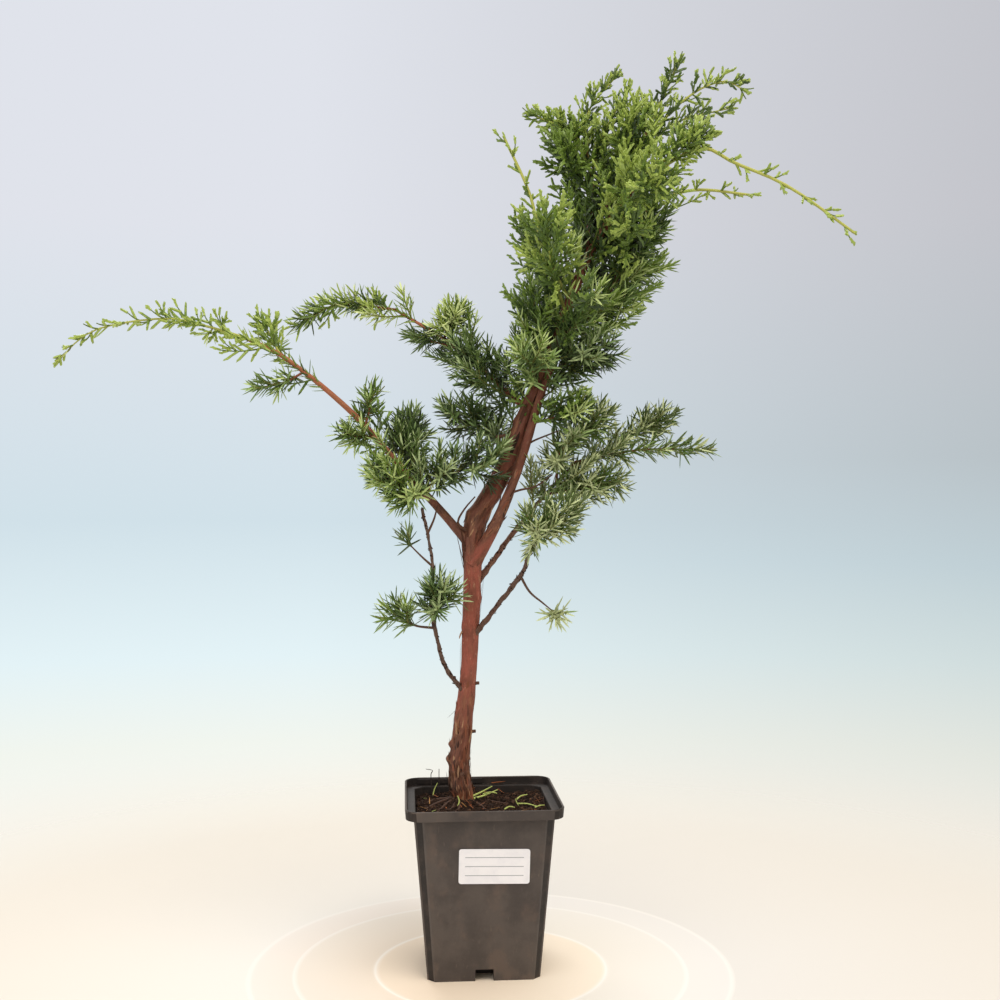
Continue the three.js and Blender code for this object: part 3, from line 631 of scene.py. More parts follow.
@dataclass
class Canopy:
    """The foliage: twigs and leaves that fill the space of each mass."""

    skeleton: Skeleton
    first_seed: int = 101
    seed_step: int = 17
    finer_seed: int = 7919
    side_seed: int = 31
    limb_seed: int = 40009
    limb_side_seed: int = 7
    needle_seed: int = 5000
    cord_seed: int = 9000
    chunk: int = 8000
    spread: tuple[float, float] = (75, 30)
    spread_jitter: float = 16
    turn_jitter: float = 0.7
    lift: float = 0.12
    full_length: tuple[float, float] = (0.85, 1.1)
    least_sine: float = 0.6
    lengths: tuple[float, ...] = (1, 0.75, 0.5)
    middle: float = 0.6
    edge: float = 1.1
    border: float = 0.05
    loose_border: float = -0.1
    adult_half: float = 0.5
    spine_spacing: float = 4
    finer_shoots: float = 1.4
    finer_spread: tuple[float, float] = (62, 24)
    finer_lean: float = 0.6
    finer_border: float = -0.25
    limb_spacing: float = 3.2
    limb_angle: tuple[float, float] = (38, 28)
    limb_vary: tuple[float, float] = (0.85, 0.3)
    limb_shoots: tuple[float, ...] = (40, 33, 26, 19)
    brush_points: int = 24
    brush_parts: int = 6
    leaf_room: tuple[float, float] = (6.5, 2.5)
    least_part: float = 0.45
    bow: float = 0.12
    twig_points: int = 6
    stem_points: int = 16
    stem_radius: tuple[float, float, float] = (0.6, 0.02, 0.35)
    leafless: float = 0.2
    twig_radii: tuple[float, float, float] = (0.55, 0.4, 0.3)
    side_spacing: float = 9.0
    side_angle: float = 42
    side_length: float = 0.42
    side_share: float = 0.75
    side_places: tuple[float, float] = (0.2, 0.6)
    side_lift: float = 0.6
    side_taper: tuple[float, float] = (1.15, 0.6)
    side_vary: tuple[float, float] = (0.8, 0.4)
    # Weights that turn leaves paler or darker: by depth in the mass, as painted shade deep inside and painted
    # light at the edge; by place on the twig, for young tips; by the twig's tone; and at random.
    paler: tuple[float, float, float, float] = (0.9, 0.5, 0.45, 0.12)
    paler_middle: tuple[float, float] = (0.55, 0.5)
    tone_step: float = 0.25
    whorl_spacing: float = 2.4
    whorl_jitter: float = 0.35
    needle_length: float = 10.5
    low_needle_length: float = 12.5
    needle_angles: tuple[tuple[float, ...], ...] = ((0, 0.7, 1), (56, 44, 20))
    needle_tilt: float = 9
    needle_sizes: tuple[tuple[float, ...], ...] = ((0, 0.25, 0.75, 1), (0.8, 1, 0.95, 0.6))
    needle_vary: tuple[float, float] = (0.8, 1.15)
    side_needles: float = 0.9
    arm_spacing: float = 2.7
    arm_length: float = 9.5
    arm_growth: tuple[float, float] = (3.5, 0.35)
    arm_steps: int = 80
    arm_turn: float = math.pi + 0.2
    arm_angles: tuple[tuple[float, ...], ...] = ((0, 0.85, 1), (42, 36, 8))
    arm_tilt: float = 6
    arm_sizes: tuple[tuple[float, ...], ...] = ((0, 0.3, 0.8, 1), (0.8, 1.1, 0.8, 0.65))
    arm_vary: tuple[float, float] = (0.75, 1.2)
    last_arm: float = 0.97
    nubs: tuple[tuple[float, int], ...] = ((0.3, 1), (0.48, -1), (0.68, 1))
    nub_share: float = 0.34
    nub_least: float = 2.2
    nub_angle: float = 0.5
    nub_tilt: float = 0.12
    nub_width: float = 0.85
    nub_paler: float = 0.4
    slim_reach: tuple[float, float] = (6.5, 10.5)
    slim_spacing: float = 4.6
    full_spacing: float = 0.8
    slim_stem: tuple[float, float] = (1.15, 0.8)
    slim_shoots: float = 0.4
    plume_spacing: float = 9.0
    plume_length: float = 0.42
    twigs: list[Twig] = field(default_factory=list)
    brushes: list[Twig] = field(default_factory=list)
    needles: LeafSet = field(default_factory=LeafSet)
    cords: LeafSet = field(default_factory=LeafSet)

    def __post_init__(self) -> None:
        """Work out every mass's stem and the spine of its space."""
        self.stems = [self.skeleton.stem(mass) for mass in MASSES]
        spines = []
        owners = []
        reaches = []
        for index, (mass, stem) in enumerate(zip(MASSES, self.stems)):
            steps = math.ceil(stem.length() / self.spine_spacing)
            shares = mass.bare + (1 - mass.bare) * np.arange(steps + 1) / steps
            spines.append(stem.at(shares))
            owners.append(np.full(steps + 1, index))
            reaches.append(mass.reach * (1 - mass.taper * shares))
        self.spine = np.vstack(spines)
        self.spine_reach = np.concatenate(reaches)
        self.spine_start = np.flatnonzero(np.diff(np.concatenate(owners), prepend=-1))

    def outness(self, points: np.ndarray) -> np.ndarray:
        """Measure how far out each point lies in each mass's space.

        Args:
            points: Rows of points.

        Returns:
            For each point, 0 on a mass's stem to 1 at its reach, for every mass.
        """
        gaps = np.linalg.norm(points[:, None, :] - self.spine[None, :, :], axis=2) / self.spine_reach
        return np.minimum.reduceat(gaps, self.spine_start, axis=1)

    def in_own_space(self, points: np.ndarray, mass: np.ndarray, edge: float, border: float) -> np.ndarray:
        """Test which points lie in their own mass's space.

        Args:
            points: Rows of points.
            mass: The number of each one's mass.
            edge: How far out a point may lie, as a share of the reach.
            border: How much deeper in its own space than in any other it lies.

        Returns:
            True for each point that does.
        """
        inside = np.zeros(len(points), dtype=bool)
        for start in range(0, len(points), self.chunk):
            part = slice(start, start + self.chunk)
            out = self.outness(points[part])
            rows = np.arange(len(out))
            own = out[rows, mass[part]]
            out[rows, mass[part]] = np.inf
            inside[part] = (own < edge) & (out.min(axis=1) > own + border)
        return inside

    @staticmethod
    def in_opening(points: np.ndarray) -> np.ndarray:
        """Test which points lie in a gap of the crown.

        Args:
            points: Rows of points.

        Returns:
            True for each point that does.
        """
        inside = np.zeros(len(points), dtype=bool)
        for near, far, radius in OPENINGS:
            foot = np.array(near, dtype=float)
            run = np.array(far) - foot
            share = np.clip((points - foot) @ run / (run @ run), 0, 1)
            inside |= np.linalg.norm(points - foot - share[:, None] * run, axis=1) < radius
        return inside

    def grow(self) -> None:
        """Grow the twigs of every mass and then their leaves."""
        for index, mass in enumerate(MASSES):
            self.grow_stem(index, mass)
            seed = self.first_seed + self.seed_step * index
            main = self.shoots(index, mass, mass.shoots, seed, self.border, 0)
            finer = round(mass.shoots * (self.slim_shoots if self.is_slim(mass) else self.finer_shoots))
            extra = self.shoots(index, mass, finer, seed + self.finer_seed, self.finer_border,
                                self.finer_lean)
            self.twigs += main + extra
            for number, shoot in enumerate(main + extra):
                self.twigs += self.side_twigs(index, shoot, seed * self.side_seed + number)
        for number, (limb, start, end) in enumerate(LEAFY_LIMBS):
            self.grow_on_limb(limb, start, end, self.limb_seed + number)
        self.twigs = [
            twig for twig in self.twigs if twig.order == 0 or not self.in_opening(twig.points[2:4]).any()
        ]
        for number, twig in enumerate(self.twigs + self.brushes):
            if twig.kind is LeafKind.NEEDLE:
                self.bear_needles(twig, number)
            else:
                self.bear_cords(twig, number)

    def is_slim(self, mass: Mass) -> bool:
        """Tell whether a mass is a single long shoot."""
        return mass.adult > self.adult_half and mass.reach < self.slim_reach[1]

    def grow_stem(self, index: int, mass: Mass) -> None:
        """Add a mass's stem, which bears leaves along its outer part.

        Args:
            index: The mass's number.
            mass: The mass.
        """
        kind = LeafKind.CORD if mass.adult > self.adult_half else LeafKind.NEEDLE
        least, gain, tip = self.stem_radius
        radii = self.slim_stem if self.is_slim(mass) else (least + gain * mass.reach, tip)
        start = max(mass.bare, self.leafless)
        points = self.stems[index].at(np.linspace(0, 1, self.stem_points))
        self.twigs.append(Twig(points, kind, radii, index, 0, index, mass.tones[1], start))

    def grow_on_limb(self, limb: str, start: float, end: float, seed: int) -> None:
        """Grow shoots straight on a limb, each in the space of the mass that it reaches.

        Args:
            limb: The limb's name.
            start: The share of its run where they begin.
            end: The share of its run where they end.
            seed: The seed of their stream.
        """
        draw = random_stream(seed)
        curve = self.skeleton.curves[limb]
        points = curve.at(np.linspace(start, end, self.brush_points))
        step = self.brush_points // self.brush_parts
        nearest = self.outness(points).argmin(axis=1)[step // 2 :: step]
        radii = (self.twig_radii[1], self.twig_radii[1])
        for part, near in zip(np.array_split(np.arange(self.brush_points), self.brush_parts), nearest):
            run = points[part[0] : part[-1] + 2]
            tone = MASSES[near].tones[1]
            self.brushes.append(Twig(run, LeafKind.NEEDLE, radii, seed + part[0], 0, int(near), tone, 0.0))
        count = int(curve.length() * (end - start) / self.limb_spacing)
        for i in range(count):
            place = start + (end - start) * (i + draw()) / count
            foot = curve.at(place)
            turn = i * GOLDEN_ANGLE + draw()
            angle = math.radians(self.limb_angle[0] + self.limb_angle[1] * draw())
            direction = unit(branch_direction(curve.tangent(place), angle, turn) + UP * self.lift)
            kind_draw = draw()
            tone_draw = draw()
            vary = self.limb_vary[0] + self.limb_vary[1] * draw()
            for length in self.limb_shoots:
                tip = foot + direction * length * vary
                index = int(self.outness(tip[None, :])[0].argmin())
                if self.in_own_space(tip[None, :], np.array([index]), self.edge, self.loose_border)[0]:
                    mass = MASSES[index]
                    kind = LeafKind.CORD if kind_draw < mass.adult else LeafKind.NEEDLE
                    tone = mass.tones[min(2, int(tone_draw * 3))]
                    shoot = self.bowed(foot, tip, kind, turn, 1, index, tone)
                    self.twigs.append(shoot)
                    self.twigs += self.side_twigs(index, shoot, seed * self.limb_side_seed + i)
                    break

    def shoots(self, index: int, mass: Mass, count: int, seed: int, border: float,
               lean: float) -> list[Twig]:
        """Set shoots round a mass's stem by the golden angle, bent upward.

        Args:
            index: The mass's number.
            mass: The mass.
            count: How many shoots the stem has room for.
            seed: The seed of their stream.
            border: How much deeper in its own space than in any other a shoot ends.
            lean: How far a shoot leans the way its parent limb runs.

        Returns:
            The shoots that keep to the mass's own space.
        """
        draw = random_stream(seed)
        stem = self.stems[index]
        parent = self.skeleton.curves[mass.parent].tangent(mass.at)
        fan = self.finer_spread if lean else self.spread
        found = []
        for i in range(count):
            share = (i + 0.5) / count
            place = mass.bare + (1 - mass.bare) * share
            foot = stem.at(place)
            along = stem.tangent(place)
            turn = i * GOLDEN_ANGLE + (draw() - 0.5) * self.turn_jitter
            degrees = np.interp(share, (0, 1), fan) + (draw() - 0.5) * self.spread_jitter
            spread = math.radians(degrees)
            direction = unit(branch_direction(along, spread, turn) + UP * self.lift + parent * lean)
            full = mass.reach * (1 - mass.taper * place) * np.interp(draw(), (0, 1), self.full_length)
            full *= 1 / max(math.sin(spread), self.least_sine)
            kind = LeafKind.CORD if draw() < mass.adult else LeafKind.NEEDLE
            full = max(full - self.leaf_room[kind.value], full * self.least_part)
            for part in self.lengths:
                tip = foot + direction * full * part
                ends = np.array([tip, foot + (tip - foot) * self.middle])
                if self.in_own_space(ends, np.array([index, index]), self.edge, border).all():
                    tone = mass.tones[min(2, int(draw() * 3))]
                    found.append(self.bowed(foot, tip, kind, turn, 1, index, tone))
                    break
        return found

    def bowed(self, foot: np.ndarray, tip: np.ndarray, kind: LeafKind, turn: float, order: int,
              index: int, tone: Tone) -> Twig:
        """Make a twig that sags a little along its middle and turns up to its tip.

        Args:
            foot: Where it stands.
            tip: Where it ends.
            kind: The leaves that it bears.
            turn: The place round it where its leaves begin.
            order: 1 for a shoot and 2 for a side twig.
            index: The number of its mass.
            tone: The colour of its leaves.

        Returns:
            The twig.
        """
        run = tip - foot
        shares = np.linspace(0, 1, self.twig_points)[:, None]
        sag = -UP * self.bow * np.linalg.norm(run)
        points = foot + run * shares + sag * 2 * shares * (1 - shares)
        return Twig(points, kind, (self.twig_radii[order - 1], self.twig_radii[2]), turn, order, index, tone)

    def side_twigs(self, index: int, shoot: Twig, seed: int) -> list[Twig]:
        """Grow side twigs on a shoot.

        Args:
            index: The number of its mass.
            shoot: The shoot that bears them.
            seed: The seed of their stream.

        Returns:
            The side twigs that keep to the mass's own space.
        """
        draw = random_stream(seed)
        found = []
        adult = shoot.kind is LeafKind.CORD
        spacing = self.plume_spacing if adult else self.side_spacing
        longest = self.plume_length if adult else self.side_length
        count = int(shoot.length * self.side_share / spacing)
        for i in range(count):
            share = self.side_places[0] + self.side_places[1] * (i + draw() * 0.5) / max(count, 1)
            foot = shoot.at(share)
            along = shoot.along(share)
            turn = shoot.turn + i * GOLDEN_ANGLE + draw()
            angle = math.radians(self.side_angle + (draw() - 0.5) * self.spread_jitter)
            direction = unit(branch_direction(along, angle, turn) + UP * self.lift * self.side_lift)
            length = shoot.length * longest * (self.side_taper[0] - self.side_taper[1] * share)
            length *= self.side_vary[0] + self.side_vary[1] * draw()
            tip = foot + direction * length
            if self.in_own_space(tip[None, :], np.array([index]), self.edge, self.loose_border)[0]:
                found.append(self.bowed(foot, tip, shoot.kind, turn, 2, index, shoot.tone))
        return found

    def tones_at(self, points: np.ndarray, share: np.ndarray, twig: Twig,
                 rng: np.random.Generator) -> np.ndarray:
        """Choose the tones of leaves: darker deep in a mass as painted shade, paler out at its edge as painted
        light, and paler on the shoot's tip where it is young.

        Args:
            points: The middle of each leaf.
            share: How far along its twig each stands.
            twig: The twig that bears them.
            rng: The twig's own random numbers.

        Returns:
            The number of each leaf's tone.
        """
        mass = MASSES[twig.mass]
        chosen = mass.tones.index(twig.tone)
        depth = self.outness(points).min(axis=1)
        shading_by_depth, by_share, by_twig, jitter = self.paler
        paler = shading_by_depth * (depth - self.paler_middle[0]) + by_share * (share - self.paler_middle[1])
        paler += by_twig * (chosen - 1) + rng.normal(0, jitter, len(points))
        step = 1 + (paler > self.tone_step).astype(int) - (paler < -self.tone_step).astype(int)
        return np.array([list(Tone).index(tone) for tone in mass.tones])[step]

    def bear_needles(self, twig: Twig, number: int) -> None:
        """Set needles in whorls of three along a twig, shorter and closer to it at its tip.

        Args:
            twig: The twig.
            number: Its own number, which seeds its random numbers.
        """
        rng = np.random.default_rng(self.needle_seed + number)
        start = twig.leafy
        whorls = max(2, int(twig.length * (1 - start) / self.whorl_spacing))
        share = np.repeat(start + (1 - start) * (np.arange(whorls) + 0.5) / whorls, 3)
        place = np.tile(np.arange(3), whorls)
        turn = place * (2 * math.pi / 3) + np.repeat(np.arange(whorls), 3) * (math.pi / 3)
        turn = turn + twig.turn + rng.uniform(-self.whorl_jitter, self.whorl_jitter, len(turn))
        tilt = rng.uniform(-self.needle_tilt, self.needle_tilt, len(turn))
        along = twig.along(share)
        aim = branch_direction(along, np.radians(np.interp(share, *self.needle_angles) + tilt), turn)
        longest = self.low_needle_length if MASSES[twig.mass].region is Region.LOW else self.needle_length
        size = longest * np.interp(share, *self.needle_sizes)
        size *= rng.uniform(*self.needle_vary, len(turn)) * (self.side_needles if twig.order == 2 else 1)
        foot = twig.at(share)
        end = foot + aim * size[:, None]
        tone = self.tones_at(foot + aim * size[:, None] * 0.5, share, twig, rng)
        self.needles.add(twig.mass, 1.0, foot=foot, aim=aim, upper=square_to(along, aim), size=size,
                         tone=tone, end=end)

    def bear_cords(self, twig: Twig, number: int) -> None:
        """Set scale-leaved arms in two rows along a twig, each with short nubs on both its sides.

        Args:
            twig: The twig.
            number: Its own number, which seeds its random numbers.
        """
        rng = np.random.default_rng(self.cord_seed + number)
        start = twig.leafy
        mass = MASSES[twig.mass]
        steps = np.linspace(start, 1, self.arm_steps)
        reach = mass.reach * (1 - mass.taper * steps)
        sparse = np.interp(reach, self.slim_reach, (self.slim_spacing, self.full_spacing))
        if twig.order:
            sparse = np.ones(self.arm_steps)
        crowd = np.cumsum(twig.length * (1 - start) / self.arm_steps / (self.arm_spacing * sparse))
        count = max(2, int(crowd[-1]))
        place = (np.arange(count) + rng.uniform(0.2, 0.8, count)) / count * crowd[-1]
        share = np.interp(place, crowd, steps)
        share[-1] = self.last_arm
        turn = twig.turn + np.arange(count) * self.arm_turn + rng.uniform(-0.4, 0.4, count)
        tilt = rng.uniform(-self.arm_tilt, self.arm_tilt, count)
        along = twig.along(share)
        aim = branch_direction(along, np.radians(np.interp(share, *self.arm_angles) + tilt), turn)
        upper = square_to(along, aim)
        longest = min(self.arm_length, self.arm_growth[0] + self.arm_growth[1] * twig.length)
        size = longest * np.interp(share, *self.arm_sizes) * rng.uniform(*self.arm_vary, count)
        foot = twig.at(share)
        end = foot + aim * size[:, None]
        tone = self.tones_at(foot + aim * size[:, None] * 0.5, share, twig, rng)
        self.cords.add(twig.mass, 1.0, foot=foot, aim=aim, upper=upper, size=size, tone=tone, end=end)
        tone = self.tones_at(end, share + self.nub_paler, twig, rng)
        across = np.cross(aim, upper)
        for part, side in self.nubs:
            angle = self.nub_angle + rng.uniform(-self.nub_tilt, self.nub_tilt, (count, 1))
            bent = unit(aim * np.cos(angle) + across * side * np.sin(angle))
            nub = np.maximum(size * self.nub_share, self.nub_least) * rng.uniform(0.8, 1.2, count)
            self.cords.add(twig.mass, self.nub_width, foot=foot + aim * (size * part)[:, None], aim=bent,
                           upper=square_to(upper, bent), size=nub, tone=tone, end=end)


class Socket(Enum):
    """The kinds of input that the node trees take."""

    GEOMETRY = "NodeSocketGeometry"
    NUMBER = "NodeSocketFloat"
    COUNT = "NodeSocketInt"
    MATERIAL = "NodeSocketMaterial"


class ShapeTree:
    """A node tree that is laid out by a subclass and run on a mesh."""

    def __init__(self, name: str, inputs: dict[str, Any], finishes: Sequence[bpy.types.Material]) -> None:
        """Build the tree.

        Args:
            name: The tree's name.
            inputs: Its numbers by name.
            finishes: The materials that it deals out by number.
        """
        self.tree = bpy.data.node_groups.new(name, "GeometryNodeTree")
        self.values: dict[str, Any] = {}
        self.add_input("Geometry", Socket.GEOMETRY)
        for label, value in inputs.items():
            self.add_input(label, Socket.COUNT if isinstance(value, int) else Socket.NUMBER, value)
        self.finish_names = [f"Finish {number}" for number, _ in enumerate(finishes)]
        for label, finish in zip(self.finish_names, finishes):
            self.add_input(label, Socket.MATERIAL, finish)
        self.tree.interface.new_socket("Geometry", in_out="OUTPUT", socket_type=Socket.GEOMETRY.value)
        node = partial(add_node, self.tree)
        self.given = node("NodeGroupInput").node.outputs
        joined = node("GeometryNodeRealizeInstances", Geometry=self.lay_out())
        dealt = node("GeometryNodeInputNamedAttribute", {"data_type": "INT"}, Name="finish")
        for number, label in enumerate(self.finish_names):
            same = node("FunctionNodeCompare", {"data_type": "INT", "operation": "EQUAL"},
                        in_2=dealt, in_3=number)
            joined = node("GeometryNodeSetMaterial", Geometry=joined, Selection=same,
                          Material=self.given[label])
        node("NodeGroupOutput", Geometry=joined)

    def add_input(self, label: str, kind: Socket, value: Any = None) -> None:
        """Add a named input to the tree and keep its value for the modifier.

        Args:
            label: The input's name.
            kind: Its kind.
            value: Its value, where it has one.
        """
        socket = self.tree.interface.new_socket(label, in_out="INPUT", socket_type=kind.value)
        if value is not None:
            self.values[socket.identifier] = value

    def lay_out(self) -> bpy.types.NodeSocket:
        """Lay out the nodes that shape the geometry and give their last socket."""
        raise NotImplementedError

    def apply(self, piece: bpy.types.Object) -> bpy.types.Object:
        """Run the tree on an object and keep its result.

        Args:
            piece: The object whose mesh the tree starts from.

        Returns:
            The same object with the finished mesh.
        """
        modifier = piece.modifiers.new(self.tree.name, "NODES")
        modifier.node_group = self.tree
        for identifier, value in self.values.items():
            modifier[identifier] = value
        return bake_modifiers(piece)


class SliverTree(ShapeTree):
    """Puts a slim closed sliver on every point: a needle, a scale-leaved cord or a flake of bark.

    The points say which way it grows (aim), which way its upper face looks (upper), its length (size),
    its width (wide) and the number of its finish. An upper face gets the finish after its own where
    "Two faces" is 1.
    """

    def lay_out(self) -> bpy.types.NodeSocket:
        """Shape one sliver and set it on the points.

        Returns:
            The socket of the slivers.
        """
        node = partial(add_node, self.tree)
        upper = node("GeometryNodeInputNamedAttribute", {"data_type": "FLOAT_VECTOR"}, Name="upper")
        aim = node("GeometryNodeInputNamedAttribute", {"data_type": "FLOAT_VECTOR"}, Name="aim")
        wide = node("GeometryNodeInputNamedAttribute", {"data_type": "FLOAT"}, Name="wide")
        size = node("GeometryNodeInputNamedAttribute", {"data_type": "FLOAT"}, Name="size")
        facing = node("ShaderNodeVectorMath", {"operation": "SCALE"}, in_0=upper, Scale=-1.0)
        turned = node("FunctionNodeAxesToRotation", {"primary_axis": "Z", "secondary_axis": "X"},
                      Primary_Axis=aim, Secondary_Axis=facing)
        half = node("ShaderNodeMath", {"operation": "MULTIPLY"}, in_0=wide, in_1=0.5)
        scale = node("ShaderNodeCombineXYZ", X=half, Y=half, Z=size)
        placed = node("GeometryNodeInstanceOnPoints", Points=self.given["Geometry"],
                      Instance=self.sliver(), Rotation=turned, Scale=scale)
        joined = node("GeometryNodeRealizeInstances", Geometry=placed)
        above = node("GeometryNodeInputNamedAttribute", {"data_type": "FLOAT"}, Name="above")
        more = node("ShaderNodeMath", {"operation": "MULTIPLY"}, in_0=above, in_1=self.given["Two faces"])
        finish = node("GeometryNodeInputNamedAttribute", {"data_type": "INT"}, Name="finish")
        whole = node("ShaderNodeMath", {"operation": "ADD"}, in_0=finish, in_1=more)
        return node("GeometryNodeStoreNamedAttribute", {"data_type": "INT", "domain": "FACE"},
                    Geometry=joined, Name="finish", Value=whole)

    def sliver(self) -> bpy.types.NodeSocket:
        """Shape one sliver of length and half width one, standing on its foot.

        Returns:
            The socket of the sliver.
        """
        node = partial(add_node, self.tree)
        given = self.given
        cone = node("GeometryNodeMeshCone", {"fill_type": "NGON"}, Vertices=given["Sides"],
                    Side_Segments=given["Steps"], Radius_Top=0.0, Radius_Bottom=1.0, Depth=1.0)
        x, y, z = node("ShaderNodeSeparateXYZ", in_0=node("GeometryNodeInputPosition")).node.outputs
        above = node("ShaderNodeMath", {"operation": "MAXIMUM"}, in_0=z, in_1=0.0)
        height = node("ShaderNodeMath", {"operation": "POWER"}, in_0=above, in_1=given["Shoulder"])
        fall = node("ShaderNodeMath", {"operation": "POWER"}, in_0=height, in_1=given["Fullness"])
        rest = node("ShaderNodeMath", {"operation": "SUBTRACT", "use_clamp": True}, in_0=1.0, in_1=fall)
        profile = node("ShaderNodeMath", {"operation": "POWER"}, in_0=rest, in_1=given["Bluntness"])
        # The cone itself narrows to its tip, so its width there is made up for, a hair short of none.
        narrow = node("ShaderNodeMath", {"operation": "SUBTRACT"}, in_0=1.0001, in_1=z)
        widen = node("ShaderNodeMath", {"operation": "DIVIDE"}, in_0=profile, in_1=narrow)
        flat = node("ShaderNodeMath", {"operation": "MULTIPLY"}, in_0=widen, in_1=given["Flatness"])
        wide_x = node("ShaderNodeMath", {"operation": "MULTIPLY"}, in_0=x, in_1=flat)
        wide_y = node("ShaderNodeMath", {"operation": "MULTIPLY"}, in_0=y, in_1=widen)
        square = node("ShaderNodeMath", {"operation": "POWER"}, in_0=height, in_1=2.0)
        bend = node("ShaderNodeMath", {"operation": "MULTIPLY"}, in_0=square, in_1=given["Arch"])
        bent = node("ShaderNodeMath", {"operation": "SUBTRACT"}, in_0=wide_x, in_1=bend)
        shaped = node("ShaderNodeCombineXYZ", X=bent, Y=wide_y, Z=height)
        facing = node("ShaderNodeSeparateXYZ", output="X", in_0=node("GeometryNodeInputNormal"))
        upper = node("ShaderNodeMath", {"operation": "LESS_THAN"}, in_0=facing, in_1=-0.7)
        marked = node("GeometryNodeStoreNamedAttribute", {"data_type": "FLOAT", "domain": "FACE"},
                      Geometry=cone, Name="above", Value=upper)
        return node("GeometryNodeSetPosition", Geometry=marked, Position=shaped)


class TwigTree(ShapeTree):
    """Turns runs of edges to round twigs, each as thick as its points say."""

    def lay_out(self) -> bpy.types.NodeSocket:
        """Sweep a ring along every run.

        Returns:
            The socket of the twigs.
        """
        node = partial(add_node, self.tree)
        curves = node("GeometryNodeMeshToCurve", Mesh=self.given["Geometry"])
        ring = node("GeometryNodeCurvePrimitiveCircle", Resolution=self.given["Sides"], Radius=1.0)
        thick = node("GeometryNodeInputNamedAttribute", {"data_type": "FLOAT"}, Name="thick")
        tubes = node("GeometryNodeCurveToMesh", Curve=curves, Profile_Curve=ring, Scale=thick,
                     Fill_Caps=True)
        return node("GeometryNodeSetShadeSmooth", Geometry=tubes)


class CrumbTree(ShapeTree):
    """Puts an uneven crumb on every point, sized and turned as the point says."""

    def lay_out(self) -> bpy.types.NodeSocket:
        """Dent a small ball and set it on the points.

        Returns:
            The socket of the crumbs.
        """
        node = partial(add_node, self.tree)
        ball = node("GeometryNodeMeshIcoSphere", Radius=1.0, Subdivisions=self.given["Detail"])
        dents = node("ShaderNodeTexNoise", {"noise_dimensions": "3D"}, Scale=self.given["Dent scale"])
        dent = node("ShaderNodeMath", {"operation": "SUBTRACT"}, in_0=dents, in_1=0.5)
        depth = node("ShaderNodeMath", {"operation": "MULTIPLY"}, in_0=dent, in_1=self.given["Dent depth"])
        shift = node("ShaderNodeVectorMath", {"operation": "SCALE"},
                     in_0=node("GeometryNodeInputNormal"), Scale=depth)
        crumb = node("GeometryNodeSetPosition", Geometry=ball, Offset=shift)
        spin = node("GeometryNodeInputNamedAttribute", {"data_type": "FLOAT_VECTOR"}, Name="spin")
        extent = node("GeometryNodeInputNamedAttribute", {"data_type": "FLOAT_VECTOR"}, Name="extent")
        placed = node("GeometryNodeInstanceOnPoints", Points=self.given["Geometry"], Instance=crumb,
                      Rotation=node("FunctionNodeEulerToRotation", in_0=spin), Scale=extent)
        return node("GeometryNodeRealizeInstances", Geometry=placed)


@dataclass(frozen=True)
class PlainFinish:
    """A finish of one colour, for leaves, thin twigs and crumbs whose colours are dealt out by piece."""

    name: str
    colour: str
    roughness: float = 0.5
    shine: float = 0.35

    def build(self) -> bpy.types.Material:
        """Make the material.

        Returns:
            The material.
        """
        material = bpy.data.materials.new(self.name)
        material.use_nodes = True
        shader = material.node_tree.nodes["Principled BSDF"]
        shader.inputs["Base Color"].default_value = linear(self.colour)
        shader.inputs["Roughness"].default_value = self.roughness
        shader.inputs["Specular IOR Level"].default_value = self.shine
        return material


def plain_finishes(
    prefix: str, colours: Sequence[str], roughness: float, shine: float
) -> list[bpy.types.Material]:
    """Make a numbered plain finish for each colour."""
    return [PlainFinish(f"{prefix}_{i}", colour, roughness, shine).build()
            for i, colour in enumerate(colours)]


class Age(Enum):
    """Where on bark a layer lies, by the parts of the point's age."""

    WORN = "X"
    GREY = "Y"
    YOUNG = "Z"
    SMOOTH = "smooth"


@dataclass(frozen=True)
class Layer:
    """One layer of a patterned finish: a noise that lays a colour over the ones below.

    Its scale is the real size of its features along each axis, in millimetres.
    """

    colour: str
    scale: tuple[float, float, float]
    low: float
    high: float
    strength: float = 1.0
    age: Age | None = None


